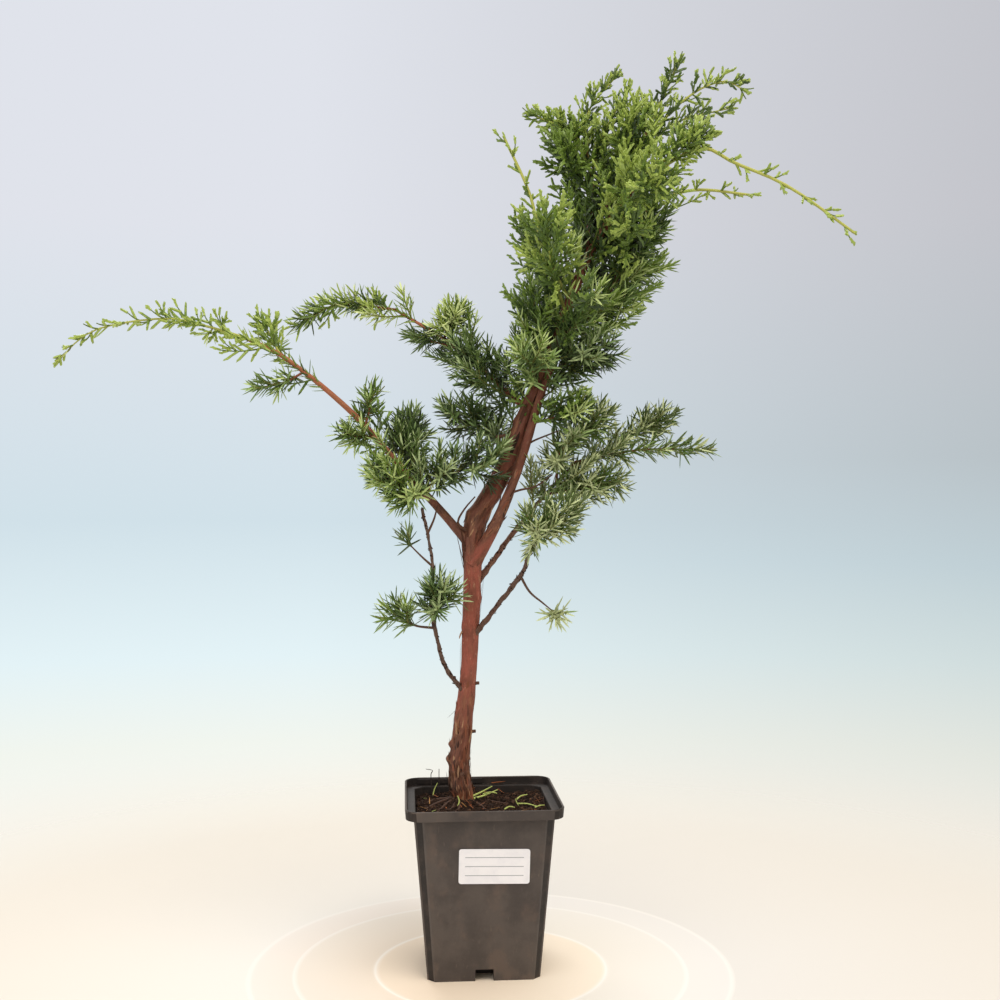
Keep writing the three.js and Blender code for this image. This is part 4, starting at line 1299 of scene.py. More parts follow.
@dataclass(frozen=True)
class PatternFinish:
    """A finish of layered noises, each with its real size, that also raise a fine relief."""

    name: str
    base: str
    layers: tuple[Layer, ...]
    roughness: tuple[float, float]
    relief: float
    relief_scale: tuple[float, float, float]
    coordinates: str = ""
    shine: float = 0.4
    detail: float = 4.0
    relief_detail: float = 6.0
    relief_span: tuple[float, float] = (0.3, 0.7)

    def build(self) -> bpy.types.Material:
        """Make the material, whose patterns read object coordinates or the named attribute.

        Returns:
            The material.
        """
        material = bpy.data.materials.new(self.name)
        material.use_nodes = True
        tree = material.node_tree
        node = partial(add_node, tree)
        shader = tree.nodes["Principled BSDF"]
        if self.coordinates:
            source = node("ShaderNodeAttribute", {"attribute_name": self.coordinates}, output="Vector")
        else:
            source = node("ShaderNodeTexCoord", output="Object")
        age = node("ShaderNodeAttribute", {"attribute_name": "age"}, output="Vector")
        ages = node("ShaderNodeSeparateXYZ", in_0=age).node.outputs
        colour: Any = linear(self.base)
        for layer in self.layers:
            amount = node("ShaderNodeMapRange", {"interpolation_type": "SMOOTHSTEP"},
                          Value=self.pattern(tree, source, layer.scale, self.detail),
                          From_Min=layer.low, From_Max=layer.high, To_Min=0.0, To_Max=layer.strength)
            if layer.age is Age.SMOOTH:
                smooth = node("ShaderNodeMath", {"operation": "SUBTRACT"}, in_0=1.0, in_1=ages["X"])
                amount = node("ShaderNodeMath", {"operation": "MULTIPLY"}, in_0=amount, in_1=smooth)
            elif layer.age:
                aged = ages[layer.age.value]
                amount = node("ShaderNodeMath", {"operation": "MULTIPLY"}, in_0=amount, in_1=aged)
            colour = node("ShaderNodeMix", {"data_type": "RGBA"}, output=2, in_0=amount, in_6=colour,
                          in_7=linear(layer.colour))
        tree.links.new(colour, shader.inputs["Base Color"])
        relief = self.pattern(tree, source, self.relief_scale, self.relief_detail)
        rough = node("ShaderNodeMapRange", Value=relief, From_Min=self.relief_span[0],
                     From_Max=self.relief_span[1], To_Min=self.roughness[0], To_Max=self.roughness[1])
        tree.links.new(rough, shader.inputs["Roughness"])
        bump = node("ShaderNodeBump", Height=relief, Strength=1.0, Distance=self.relief * MM)
        tree.links.new(bump, shader.inputs["Normal"])
        shader.inputs["Specular IOR Level"].default_value = self.shine
        return material

    @staticmethod
    def pattern(tree: bpy.types.NodeTree, source: bpy.types.NodeSocket, size: tuple[float, float, float],
                detail: float) -> bpy.types.NodeSocket:
        """Lay a noise whose features have a real size.

        Args:
            tree: The material's node tree.
            source: The coordinates, in metres.
            size: The size of a feature along each axis, in millimetres.
            detail: How many finer noises it holds.

        Returns:
            The socket of the noise.
        """
        scale = tuple(1 / (length * MM) for length in size)
        place = add_node(tree, "ShaderNodeMapping", Vector=source, Scale=scale)
        return add_node(tree, "ShaderNodeTexNoise", Vector=place, Scale=1.0, Detail=detail, Roughness=0.6)


# Leaves: waxy, so each tone has a soft shine, and matt where the upper face is pale with bloom.
def leaf_finishes() -> list[bpy.types.Material]:
    """Make the finishes of leaf backs and upper faces, tone by tone.

    Returns:
        Two materials for each tone, the back's first.
    """
    made = []
    for tone in Tone:
        back, upper = tone.value
        name = tone.name.lower()
        made.append(PlainFinish(f"leaf_{name}_back", back, 0.42, 0.5).build())
        made.append(PlainFinish(f"leaf_{name}_upper", upper, 0.45, 0.5).build())
    return made


class Wood(Enum):
    """The skins of twigs by age, as sRGB hex colours."""

    OLD = "#5f4638"
    YOUNG = "#7d4a33"
    OLIVE = "#6f7039"
    GREEN = "#677a38"
    STRAW = "#b0b25c"


def sliver_points(name: str, rows: dict[str, np.ndarray]) -> bpy.types.Object:
    """Make the points that slivers are put on.

    Args:
        name: The object's name.
        rows: The slivers' foot, aim, upper, size and wide, in millimetres, and finish.

    Returns:
        The object.
    """
    piece = make_mesh(name, rows["foot"], [])
    set_attribute(piece.data, "aim", "FLOAT_VECTOR", rows["aim"])
    set_attribute(piece.data, "upper", "FLOAT_VECTOR", rows["upper"])
    set_attribute(piece.data, "size", "FLOAT", rows["size"] * MM)
    set_attribute(piece.data, "wide", "FLOAT", rows["wide"] * MM)
    set_attribute(piece.data, "finish", "INT", rows["finish"])
    return piece


@dataclass
class FoliageModel:
    """The dressed foliage: needles, cords and twigs, region by region."""

    canopy: Canopy
    needle_width: float = 1.45
    cord_width: float = 1.75
    width_spread: tuple[float, float] = (0.85, 1.15)
    width_seed: int = 77
    leaf_edge: float = 1.35
    leaf_border: float = -0.5

    def build(self) -> list[bpy.types.Object]:
        """Make every piece of the foliage.

        Returns:
            The pieces.
        """
        finishes = leaf_finishes()
        needle_shape = {"Sides": 3, "Steps": 2, "Flatness": 0.45, "Fullness": 4.0, "Bluntness": 0.7,
                        "Arch": 0.4, "Shoulder": 0.4, "Two faces": 1.0}
        cord_shape = {"Sides": 4, "Steps": 2, "Flatness": 0.9, "Fullness": 4.0, "Bluntness": 0.6,
                      "Arch": 0.3, "Shoulder": 0.45, "Two faces": 1.0}
        needles = SliverTree("needles", needle_shape, finishes)
        cords = SliverTree("cords", cord_shape, finishes)
        made = self.leaf_pieces(needles, self.canopy.needles, self.needle_width, "needles")
        made += self.leaf_pieces(cords, self.canopy.cords, self.cord_width, "cords")
        return made + self.twig_pieces()

    def leaf_pieces(self, tree: SliverTree, leaf_set: LeafSet, width: float, word: str) -> list[bpy.types.Object]:
        """Make the pieces of one kind of leaf.

        Args:
            tree: The node tree that shapes the leaves.
            leaf_set: The leaves.
            width: How wide they are.
            word: The first word of the pieces' names.

        Returns:
            One piece for each region that has such leaves.
        """
        leaves = join_rows(leaf_set.rows)
        inside = self.canopy.in_own_space(leaves["end"], leaves["mass"], self.leaf_edge, self.leaf_border)
        inside &= ~self.canopy.in_opening(leaves["foot"]) & ~self.canopy.in_opening(leaves["end"])
        regions = np.array([list(Region).index(mass.region) for mass in MASSES])[leaves["mass"]]
        rng = np.random.default_rng(self.width_seed)
        made = []
        for number, region in enumerate(Region):
            chosen = inside & (regions == number)
            if not chosen.any():
                continue
            rows = {key: values[chosen] for key, values in leaves.items()}
            rows["wide"] = rows["wide"] * width * rng.uniform(*self.width_spread, int(chosen.sum()))
            rows["finish"] = rows["tone"] * 2
            piece = sliver_points(f"{word}_{region.value}", rows)
            made.append(place_piece(tree.apply(piece), region_masses(region)))
        return made

    def twig_pieces(self) -> list[bpy.types.Object]:
        """Make the twigs and stems.

        Returns:
            One piece for each region.
        """
        finishes = [PlainFinish(f"twig_{wood.name.lower()}", wood.value, 0.75, 0.2).build() for wood in Wood]
        tree = TwigTree("twigs", {"Sides": 5}, finishes)
        made = []
        for region in Region:
            twigs = [twig for twig in self.canopy.twigs if MASSES[twig.mass].region is region]
            piece = twig_runs(f"twigs_{region.value}", twigs)
            made.append(place_piece(tree.apply(piece), region_masses(region)))
        return made


def region_masses(region: Region) -> list[str]:
    """Name the masses of a region."""
    return [mass.name for mass in MASSES if mass.region is region]


def wood_of(twig: Twig) -> Wood:
    """Tell the age of a twig's skin.

    Args:
        twig: The twig.

    Returns:
        Its wood.
    """
    if twig.kind is LeafKind.CORD:
        return Wood.GREEN if twig.order or GLOWING[1] not in MASSES[twig.mass].tones else Wood.STRAW
    if twig.order:
        return Wood.OLIVE
    return Wood.OLD if MASSES[twig.mass].region is Region.LOW else Wood.YOUNG


def twig_runs(name: str, twigs: Sequence[Twig], finishes: Sequence[int] | None = None) -> bpy.types.Object:
    """Make a mesh of edge runs, one for each twig, with how thick each point is.

    Args:
        name: The object's name.
        twigs: The twigs.
        finishes: The number of each twig's finish, where it isn't that of its wood.

    Returns:
        The object.
    """
    mesh = bpy.data.meshes.new(name)
    edges = []
    start = 0
    for twig in twigs:
        edges += [(start + i, start + i + 1) for i in range(len(twig.points) - 1)]
        start += len(twig.points)
    mesh.from_pydata((np.vstack([twig.points for twig in twigs]) * MM).tolist(), edges, [])
    thick = [np.linspace(*twig.radii, len(twig.points)) * MM for twig in twigs]
    numbers = finishes or [list(Wood).index(wood_of(twig)) for twig in twigs]
    skins = [np.full(len(twig.points), number) for twig, number in zip(twigs, numbers)]
    set_attribute(mesh, "thick", "FLOAT", np.concatenate(thick))
    set_attribute(mesh, "finish", "INT", np.concatenate(skins))
    piece = bpy.data.objects.new(name, mesh)
    bpy.context.scene.collection.objects.link(piece)
    return piece


def place_piece(piece: bpy.types.Object, nodes: Sequence[str]) -> bpy.types.Object:
    """Hang a piece on the root body and hide the nodes that it stands for.

    Args:
        piece: The piece.
        nodes: The nodes that it replaces.

    Returns:
        The same piece.
    """
    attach(piece, "root")
    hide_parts(*nodes)
    log.info("%s: %d triangles", piece.name, triangle_count(piece))
    return piece


def bare_twig(route: Sequence[Sequence[float]], count: int, radii: tuple[float, float]) -> Twig:
    """Make a twig without leaves, with a count of points along its route."""
    return Twig(Spline(route).at(np.linspace(0, 1, count)), LeafKind.NEEDLE, radii, 0, 0, 0, Tone.DEEP)


def noise_at(place: Sequence[float], size: Sequence[float], shift: Sequence[float]) -> float:
    """Give the noise at a place, for features of a size and a pattern that is set apart by a shift."""
    return noise.noise(Vector([part / step + aside for part, step, aside in zip(place, size, shift)]))


@dataclass(frozen=True)
class Knob:
    """A knob or stub on the trunk: its height, its angle, how wide it is and how far it stands out."""

    level: float
    angle: float
    radius: float
    height: float


@dataclass(frozen=True)
class Strip:
    """A strip of bark on the trunk: the height of its foot, its size, how far it lifts and its finish."""

    level: float
    angle: float
    length: float
    width: float
    lift: float
    finish: int
    up: bool = True


# How bark ages along each limb: stops of share, worn, grey and young.
BARK_AGES = {
    "trunk": ((0, 0.3, 0, 0.7), (0.09, 0.4, 0, 0.6), (0.13, 1, 0.3, 0), (0.2, 1, 0.1, 0), (0.28, 0.8, 0, 0),
              (0.33, 0.4, 0, 0), (0.4, 0.05, 0, 0), (0.47, 0.1, 0, 0), (0.5, 0.55, 0.1, 0),
              (0.55, 0.6, 0.15, 0), (0.59, 0.4, 0, 0), (0.64, 0.5, 0, 0), (0.8, 0.45, 0, 0),
              (1, 0.3, 0, 0.6)),
    "leader_right": ((0, 0.3, 0, 0), (0.1, 0.25, 0, 0), (0.2, 0.7, 0.15, 0), (0.7, 0.5, 0, 0),
                     (1, 0.2, 0, 0.6)),
    "leader_left": ((0, 0.3, 0, 0), (1, 0.2, 0, 0.5)),
    "bough_left_long": ((0, 0.6, 0.5, 0), (0.3, 0.5, 0.2, 0), (0.55, 0.2, 0, 0.55), (1, 0.1, 0, 1)),
    "bough_left_high": ((0, 0.4, 0.1, 0), (0.5, 0.3, 0, 0.4), (1, 0.2, 0, 0.9)),
    "bough_right_low": ((0, 0.9, 0.7, 0), (1, 0.9, 0.85, 0)),
    "bough_right_high": ((0, 0.8, 0.5, 0), (1, 0.8, 0.6, 0.1)),
    "bough_low_left": ((0, 0.9, 0.85, 0), (1, 0.9, 0.9, 0)),
    "bough_front": ((0, 0.3, 0, 0.3), (1, 0.2, 0, 0.8)),
}


@dataclass
class BarkModel:
    """The bark of trunk and boughs: ridges, cracks, knobs, loose flakes and dead twigs."""

    skeleton: Skeleton
    ring_step: float = 1.3
    lobes: int = 5
    lobe_depth: float = 0.16
    lobe_height: float = 16
    lobe_turn: float = 0.6
    soil_height: float = 93
    lump: float = 0.1
    ridge: float = 0.11
    fibre: float = 0.04
    burr: tuple[float, float] = (0.03, 0.55)
    slender: float = 2.5
    thinner: float = 0.88
    waist: tuple[float, float, float, float] = (93, 102, 0.68, 1.6)
    flare: tuple[float, float] = (0.45, 1.6)
    worn_relief: tuple[float, float] = (0.25, 0.75)
    fine_step: float = 0.85
    flakes: int = 620
    flake_shares: tuple[tuple[str, float], ...] = (("trunk", 0.5), ("leader_right", 0.12))
    flake_seed: int = 300
    flake_lift: tuple[float, float] = (0.02, 0.16)
    flake_length: tuple[float, float] = (2.5, 9)
    flake_width: tuple[float, float] = (0.5, 1.6)
    flake_sway: float = 0.14
    flake_sunk: float = 0.3
    hanging: float = 0.35
    flake_colours: tuple[str, ...] = ("#7a4a36", "#55372a", "#8f5a45", "#a88162", "#36251e")
    spur_spacing: float = 1.1
    spur_lift: tuple[float, float] = (0.5, 1.4)
    spur_length: tuple[float, float] = (0.9, 2.2)
    spur_width: tuple[float, float] = (0.9, 1.5)
    spur_finishes: tuple[int, ...] = (1, 4, 4)
    sides: tuple[tuple[str, int], ...] = (("trunk", 48), ("leader_right", 28))
    bough_sides: int = 16
    ragged: tuple[float, float, float, float] = (7, 2, 2, 9)
    lump_size: tuple[float, float, float] = (7, 7, 22)
    ridge_size: tuple[float, float, float] = (2.3, 2.3, 14)
    fibre_size: tuple[float, float, float] = (0.9, 0.9, 8)
    knot_size: tuple[float, float, float] = (2.4, 2.4, 3.2)
    patch_size: tuple[float, float, float] = (5, 5, 12)
    knobs: tuple[Knob, ...] = (
        Knob(110, 0.9, 1.6, 1.0),
        Knob(118, 3.1, 1.3, 1.0),
        Knob(117, 0.05, 2.6, 2.6),
        Knob(126, 0.1, 2.2, 2.2),
        Knob(197, 0.4, 2.6, 0.7),
        Knob(214, 2.9, 3.0, 0.9),
        Knob(258, 4.2, 5.0, 1.8),
        Knob(262, 0.2, 3.4, 2.0),
        Knob(275, 2.2, 3.6, 1.5),
        Knob(307, 0.1, 2.0, 1.9),
        Knob(318, 5.6, 2.6, 1.3),
    )
    strips: tuple[Strip, ...] = (
        # The first two strips are dark and run down the trunk's left and right sides. They are dark cracks, and
        # on the left they are also painted shade along the trunk's shaded edge.
        Strip(168, 0.1, 21, 1.3, 0.08, 1),
        Strip(199, 3.05, 34, 1.3, 0.07, 1),
        Strip(194, 0.15, 5, 4.0, 0.6, 3, False),
        Strip(146, 0.0, 7, 0.9, 0.9, 4, False),
        Strip(133, 0.9, 9, 1.4, 0.3, 3),
        Strip(139, 1.8, 8, 1.2, 0.35, 0, False),
        Strip(128, 2.4, 10, 1.6, 0.2, 3),
        Strip(102, 3.0, 16, 1.4, 0.07, 1),
        Strip(100, 0.2, 12, 2.0, 0.08, 4),
        Strip(106, 1.3, 10, 2.2, 0.12, 1),
        Strip(117, 1.9, 9, 1.8, 0.14, 0),
        Strip(232, 6.2, 18, 2.4, 0.2, 1),
        Strip(236, 0.3, 17, 1.3, 0.25, 1),
        Strip(242, 0.7, 15, 1.6, 0.2, 1),
        Strip(246, 6.0, 13, 2.0, 0.25, 3),
        Strip(250, 1.0, 9, 1.0, 0.2, 1),
        Strip(268, 0.2, 9, 1.2, 0.3, 1, False),
        Strip(270, 0.9, 10, 1.4, 0.3, 3, False),
        Strip(284, 2.6, 16, 3.2, 0.12, 3, False),
        Strip(289, 2.2, 12, 2.2, 0.18, 1, False),
        Strip(300, 1.6, 14, 2.0, 0.1, 4),
        Strip(318, 1.2, 12, 2.2, 0.12, 1),
        Strip(330, 2.0, 14, 2.0, 0.12, 4),
    )
    dead_twigs: tuple[tuple[tuple[float, float, float], ...], ...] = (
        ((-9, -2, 254), (-14, -6, 259), (-10, -8, 267), (-4, -9, 274)),
        ((-3, -4, 270), (1, -8, 277), (3, -9, 281)),
        ((14, -5, 275), (23, -5, 278), (32, -4, 280), (42, -4, 287)),
        ((25, -5, 303), (31, -5, 307), (46, -6, 313)),
        ((-32, -12, 252), (-28, -11, 261), (-26, -11, 269)),
    )
    dead_radii: tuple[float, float] = (0.8, 0.4)
    stubs: tuple[tuple[tuple[float, float, float], ...], ...] = (
        ((-5, 6, 162.4), (-2.8, 5.5, 163), (-0.9, 5, 163.2)),
        ((-7, 8, 133.4), (-4.6, 7.5, 134), (-2.9, 7, 134.2)),
        ((-11, 2, 110), (-11.3, 0, 110.3), (-11.6, -1.4, 110.6)),
        ((14, -3, 310), (10, -4, 309), (8.5, -4, 309)),
        ((71, -20, 441), (72, -21, 443), (73, -22, 445)),
    )
    stub_radii: tuple[float, float] = (1.1, 1.0)
    # The height where the painted shade of the upper bark begins, along a ragged line.
    shade_level: float = 252

    def build(self) -> list[bpy.types.Object]:
        """Make the skin of every limb and the flakes on it.

        Returns:
            The pieces.
        """
        skins = []
        flake_rows = []
        faces = []
        start = 0
        names = ["trunk", *(bough.name for bough in BOUGHS)]
        for number, name in enumerate(names):
            skin = self.limb_skin(name)
            skins.append({key: skin[key] for key in ("points", "grain", "age")})
            faces += [[start + corner for corner in face] for face in skin["faces"]]
            start += len(skin["points"])
            if name == "trunk" or name.startswith("leader"):
                stout_points = start
            flake_rows.append(self.limb_flakes(name, skin, number))
        whole = join_rows(skins)
        piece = make_mesh("bark_skin", whole["points"], faces)
        set_attribute(piece.data, "grain", "FLOAT_VECTOR", whole["grain"] * MM)
        set_attribute(piece.data, "age", "FLOAT_VECTOR", whole["age"])
        piece.data.materials.append(BARK.build())
        piece.data.materials.append(BARK_SHADED.build())
        # Faces of the trunk and leaders above that ragged line get the bark with painted shade.
        for face in piece.data.polygons:
            place = [value / MM for value in face.center]
            border = self.shade_level - self.ragged[0] * noise_at(place, self.ragged[1:], (0, 0, 0))
            face.material_index = int(face.vertices[0] < stout_points and place[2] > border)
        flake_rows.append(self.strip_rows())
        return [place_piece(piece, names), self.flake_piece(flake_rows, names), self.dead_piece()]

    def limb_skin(self, name: str) -> dict[str, Any]:
        """Shape the closed skin of one limb.

        Args:
            name: The limb's name.

        Returns:
            Its points, faces, outward and lengthwise directions, grain coordinates and age.
        """
        curve = self.skeleton.curves[name]
        sides = dict(self.sides).get(name, self.bough_sides)
        slim = self.skeleton.radii[name](0.0) < self.slender
        rings = max(8, math.ceil(curve.length() / (self.fine_step if slim else self.ring_step))) + 1
        shares = np.linspace(0, 1, rings)
        centre = curve.at(shares)
        along = curve.tangent(shares)
        first = [side_of(along[:1])[0]]
        for direction in along:
            first.append(unit(first[-1] - direction * (first[-1] @ direction)))
        first = np.array(first[1:])
        second = np.cross(along, first)
        radius = self.skeleton.radii[name](shares)
        run = np.concatenate([[0], np.cumsum(np.linalg.norm(np.diff(centre, axis=0), axis=1))])
        angle = np.arange(sides) / sides * 2 * math.pi
        out = first[:, None] * np.cos(angle)[None, :, None] + second[:, None] * np.sin(angle)[None, :, None]
        wide = np.repeat(radius[:, None], sides, axis=1)
        if name == "trunk":
            low, high, narrow, aside = self.waist
            foot = np.clip((high - centre[:, 2]) / (high - low), 0, 1)
            wide = wide * (1 - (1 - narrow) * foot)[:, None]
            centre = centre + np.array([1.0, 0, 0]) * (aside * foot)[:, None]
            rise = np.maximum(centre[:, 2] - self.soil_height, 0)
            swell = self.lobe_depth * np.exp(-rise / self.lobe_height)[:, None]
            wide = wide * (1 + swell * np.cos(self.lobes * angle + self.lobe_turn)[None, :])
        else:
            flare = 1 + self.flare[0] * np.exp(-run / (self.flare[1] * radius[0]))
            wide = wide * flare[:, None] * (self.thinner if slim else 1)
        grain = np.stack([np.cos(angle)[None, :] * wide, np.sin(angle)[None, :] * wide,
                          np.repeat(run[:, None], sides, axis=1)], axis=-1)
        age = self.age_of(name, shares, grain)
        least, more = self.worn_relief
        relief = self.relief(grain, len(name), self.burr[int(slim)]) * wide * (least + more * age[..., 0])
        if name == "trunk":
            for knob in self.knobs:
                turn = np.angle(np.exp(1j * (angle - knob.angle)))[None, :] * wide
                gap = np.hypot(turn, (run - np.interp(knob.level, centre[:, 2], run))[:, None])
                relief = relief + knob.height * np.exp(-((gap / knob.radius) ** 2))
        body = centre[:, None] + out * (wide + relief)[..., None]
        ends = np.array([centre[0], centre[-1] + along[-1] * radius[-1]])
        return {
            "points": np.vstack([body.reshape(-1, 3), ends]),
            "faces": self.tube_faces(rings, sides),
            "out": out.reshape(-1, 3),
            "along": np.repeat(along, sides, axis=0),
            "grain": np.vstack([grain.reshape(-1, 3), [[0, 0, 0], [0, 0, run[-1]]]]),
            "age": np.vstack([age.reshape(-1, 3), age[0, 0], age[-1, 0]]),
        }

    @staticmethod
    def tube_faces(rings: int, sides: int) -> list[tuple[int, ...]]:
        """List the faces of a closed tube.

        Args:
            rings: How many rings it has.
            sides: How many points a ring has.

        Returns:
            The faces, for the rings' points and then the two points that close its ends.
        """
        faces: list[tuple[int, ...]] = []
        for row in range(0, (rings - 1) * sides, sides):
            for i in range(sides):
                j = (i + 1) % sides
                faces.append((row + i, row + j, row + sides + j, row + sides + i))
        last = (rings - 1) * sides
        total = rings * sides
        faces += [(total, (i + 1) % sides, i) for i in range(sides)]
        faces += [(total + 1, last + i, last + (i + 1) % sides) for i in range(sides)]
        return faces

    def age_of(self, name: str, shares: np.ndarray, grain: np.ndarray) -> np.ndarray:
        """Say how worn, grey and young each point of a limb's bark is.

        Args:
            name: The limb's name.
            shares: The share of the limb's run where each ring stands.
            grain: For each point its place round and along the limb, in millimetres.

        Returns:
            The three parts, from 0 to 1, for each point of each ring.
        """
        stops = np.array(BARK_AGES[name])
        parts = np.stack([np.interp(shares, stops[:, 0], stops[:, 1 + k]) for k in range(3)], axis=-1)
        flat = grain.reshape(-1, 3).tolist()
        patches = np.array([noise_at(place, self.patch_size, (0, 0, 0)) for place in flat])
        age = np.repeat(parts[:, None], grain.shape[1], axis=1)
        age[..., 0] += 0.5 * patches.reshape(grain.shape[:2])
        return np.clip(age, 0, 1)

    def relief(self, grain: np.ndarray, seed: int, burr: float) -> np.ndarray:
        """Give the relief of the bark as a share of the radius.

        Args:
            grain: For each point its place round and along the limb, in millimetres.
            seed: What sets this limb's pattern apart.
            burr: How rough the limb is with small knots.

        Returns:
            How far each point stands out.
        """
        lift = []
        for place in grain.reshape(-1, 3).tolist():
            lumps = noise_at(place, self.lump_size, (0, 0, seed))
            ridges = 0.5 - abs(noise_at(place, self.ridge_size, (7, 0, seed))) * 2.4
            fibres = noise_at(place, self.fibre_size, (0, 3, seed))
            knots = noise_at(place, self.knot_size, (0, 0, seed))
            lift.append(self.lump * lumps + self.ridge * ridges + self.fibre * fibres + burr * knots)
        return np.array(lift).reshape(grain.shape[:2])

    def limb_flakes(self, name: str, skin: dict[str, Any], number: int) -> dict[str, np.ndarray]:
        """Choose where loose flakes of bark stand on a limb, or spurs on a slim one.

        Args:
            name: The limb's name.
            skin: Its skin.
            number: Its number, which seeds its random numbers.

        Returns:
            The slivers' columns.
        """
        rng = np.random.default_rng(self.flake_seed + number)
        count = len(skin["out"])
        slim = self.skeleton.radii[name](0.0) < self.slender
        if slim:
            wanted = int(self.skeleton.curves[name].length() / self.spur_spacing)
        else:
            wanted = int(self.flakes * dict(self.flake_shares).get(name, 0))
        worn = skin["age"][:count, 0] ** 2 + 0.01
        picks = rng.choice(count, wanted, p=worn / worn.sum())
        out = skin["out"][picks]
        along = skin["along"][picks] * np.where(rng.random(wanted) < self.hanging, -1, 1)[:, None]
        across = np.cross(out, along)
        lift = rng.uniform(*(self.spur_lift if slim else self.flake_lift), (wanted, 1))
        aim = unit(along + across * rng.normal(0, self.flake_sway, (wanted, 1)) + out * lift)
        colours = len(self.flake_colours)
        return {
            "foot": skin["points"][:count][picks] - out * self.flake_sunk,
            "aim": aim,
            "upper": square_to(out, aim),
            "size": rng.uniform(*(self.spur_length if slim else self.flake_length), wanted),
            "wide": rng.uniform(*(self.spur_width if slim else self.flake_width), wanted),
            "finish": rng.choice(self.spur_finishes, wanted) if slim else rng.integers(0, colours, wanted),
        }

    def strip_rows(self) -> dict[str, np.ndarray]:
        """Lay out the strips of bark that stand on the trunk one by one.

        Returns:
            The slivers' columns.
        """
        curve = self.skeleton.curves["trunk"]
        shares = np.linspace(0, 1, 200)
        place = np.interp([strip.level for strip in self.strips], curve.at(shares)[:, 2], shares)
        angle = np.array([[strip.angle] for strip in self.strips])
        along = curve.tangent(place)
        first = side_of(along)
        out = first * np.cos(angle) + np.cross(along, first) * np.sin(angle)
        heading = np.array([[1.0 if strip.up else -1.0] for strip in self.strips])
        aim = unit(along * heading + out * np.array([[strip.lift] for strip in self.strips]))
        return {
            "foot": curve.at(place) + out * self.skeleton.radii["trunk"](place)[:, None],
            "aim": aim,
            "upper": square_to(out, aim),
            "size": np.array([strip.length for strip in self.strips]),
            "wide": np.array([strip.width for strip in self.strips]),
            "finish": np.array([strip.finish for strip in self.strips]),
        }

    def dead_piece(self) -> bpy.types.Object:
        """Make the bare dead twigs and stubs.

        Returns:
            The piece.
        """
        twigs = [bare_twig(route, 10, self.dead_radii) for route in self.dead_twigs]
        twigs += [bare_twig(route, 5, self.stub_radii) for route in self.stubs]
        finish = PlainFinish("dead_twig", "#5e4336", 0.8, 0.2).build()
        piece = twig_runs("bark_dead_twigs", twigs, [0] * len(twigs))
        return place_piece(TwigTree("dead_twigs", {"Sides": 7}, [finish]).apply(piece), ["trunk"])

    def flake_piece(self, rows: list[dict[str, np.ndarray]], names: Sequence[str]) -> bpy.types.Object:
        """Make the loose flakes as one piece.

        Args:
            rows: The columns of the flakes, limb by limb.
            names: The limbs that it replaces.

        Returns:
            The piece.
        """
        finishes = plain_finishes("flake", self.flake_colours, 0.85, 0.15)
        shape = {"Sides": 4, "Steps": 3, "Flatness": 0.12, "Fullness": 5.0, "Bluntness": 0.5,
                 "Arch": -0.5, "Shoulder": 0.8, "Two faces": 0.0}
        piece = sliver_points("bark_flakes", join_rows(rows))
        return place_piece(SliverTree("flakes", shape, finishes).apply(piece), names)


# Juniper bark: smooth red where it has peeled, brown and cracked where old, grey on thin boughs.
BARK = PatternFinish(
    name="juniper_bark",
    base="#98503f",
    layers=(
        Layer("#74402f", (5, 5, 14), 0.42, 0.62, 0.75),
        Layer("#a87a58", (4, 4, 12), 0.6, 0.72, 0.6),
        Layer("#5a2c22", (1.0, 1.0, 2.2), 0.6, 0.7, 0.6),
        Layer("#c89a7c", (0.8, 0.8, 3.5), 0.6, 0.7, 0.6, age=Age.SMOOTH),
        Layer("#68412f", (20, 20, 40), -1, -0.5, 0.95, age=Age.WORN),
        Layer("#9d6a48", (2.6, 2.6, 8), 0.5, 0.62, 0.7, age=Age.WORN),
        Layer("#b08a6c", (1.0, 1.0, 7), 0.62, 0.7, 0.7, age=Age.WORN),
        Layer("#54443a", (20, 20, 40), -1, -0.5, 0.9, age=Age.GREY),
        Layer("#7d6a5c", (1.2, 1.2, 3), 0.54, 0.68, 0.6, age=Age.GREY),
        Layer("#a5663f", (20, 20, 40), -1, -0.5, 0.9, age=Age.YOUNG),
        Layer("#2b1a14", (2.0, 2.0, 9), 0.55, 0.64, 0.95, age=Age.WORN),
    ),
    roughness=(0.5, 0.85),
    relief=0.45,
    relief_scale=(1.0, 1.0, 7.0),
    coordinates="grain",
)

# The same bark higher up, with a darker and redder base as painted shade under the crown.
BARK_SHADED = replace(BARK, name="juniper_bark_upper", base="#7c3f2e")


def square_ring(half: float, corner: float, height: float, round_share: float, steps: int = 5) -> np.ndarray:
    """Lay out a level square outline whose corners are cut or rounded.

    Args:
        half: Half its width.
        corner: How much of each side a corner takes.
        height: Its height.
        round_share: 0 for a straight cut across the corner, 1 for a round one.
        steps: How many steps a corner has.

    Returns:
        Rows of points.
    """
    inset = half - corner
    points = []
    for quarter in range(4):
        start = quarter * math.pi / 2
        cos, sin = math.cos(start), math.sin(start)
        for i in range(steps + 1):
            part = i / steps
            angle = part * math.pi / 2
            straight = np.array([1 - part, part])
            arc = np.array([math.cos(angle), math.sin(angle)])
            x, y = inset + corner * (straight * (1 - round_share) + arc * round_share)
            points.append((x * cos - y * sin, x * sin + y * cos, height))
    return np.array(points)


def loft(rings: Sequence[np.ndarray]) -> tuple[np.ndarray, list[Sequence[int]]]:
    """Close a surface through rings of equally many points, with a flat face on each end.

    Args:
        rings: The rings, each as rows of points.

    Returns:
        All points as rows, and the faces.
    """
    count = len(rings[0])
    faces: list[Sequence[int]] = []
    for ring in range(len(rings) - 1):
        for i in range(count):
            a = ring * count + i
            b = ring * count + (i + 1) % count
            faces.append((a, b, b + count, a + count))
    faces.append(tuple(reversed(range(count))))
    faces.append(tuple(range((len(rings) - 1) * count, len(rings) * count)))
    return np.vstack(rings), faces


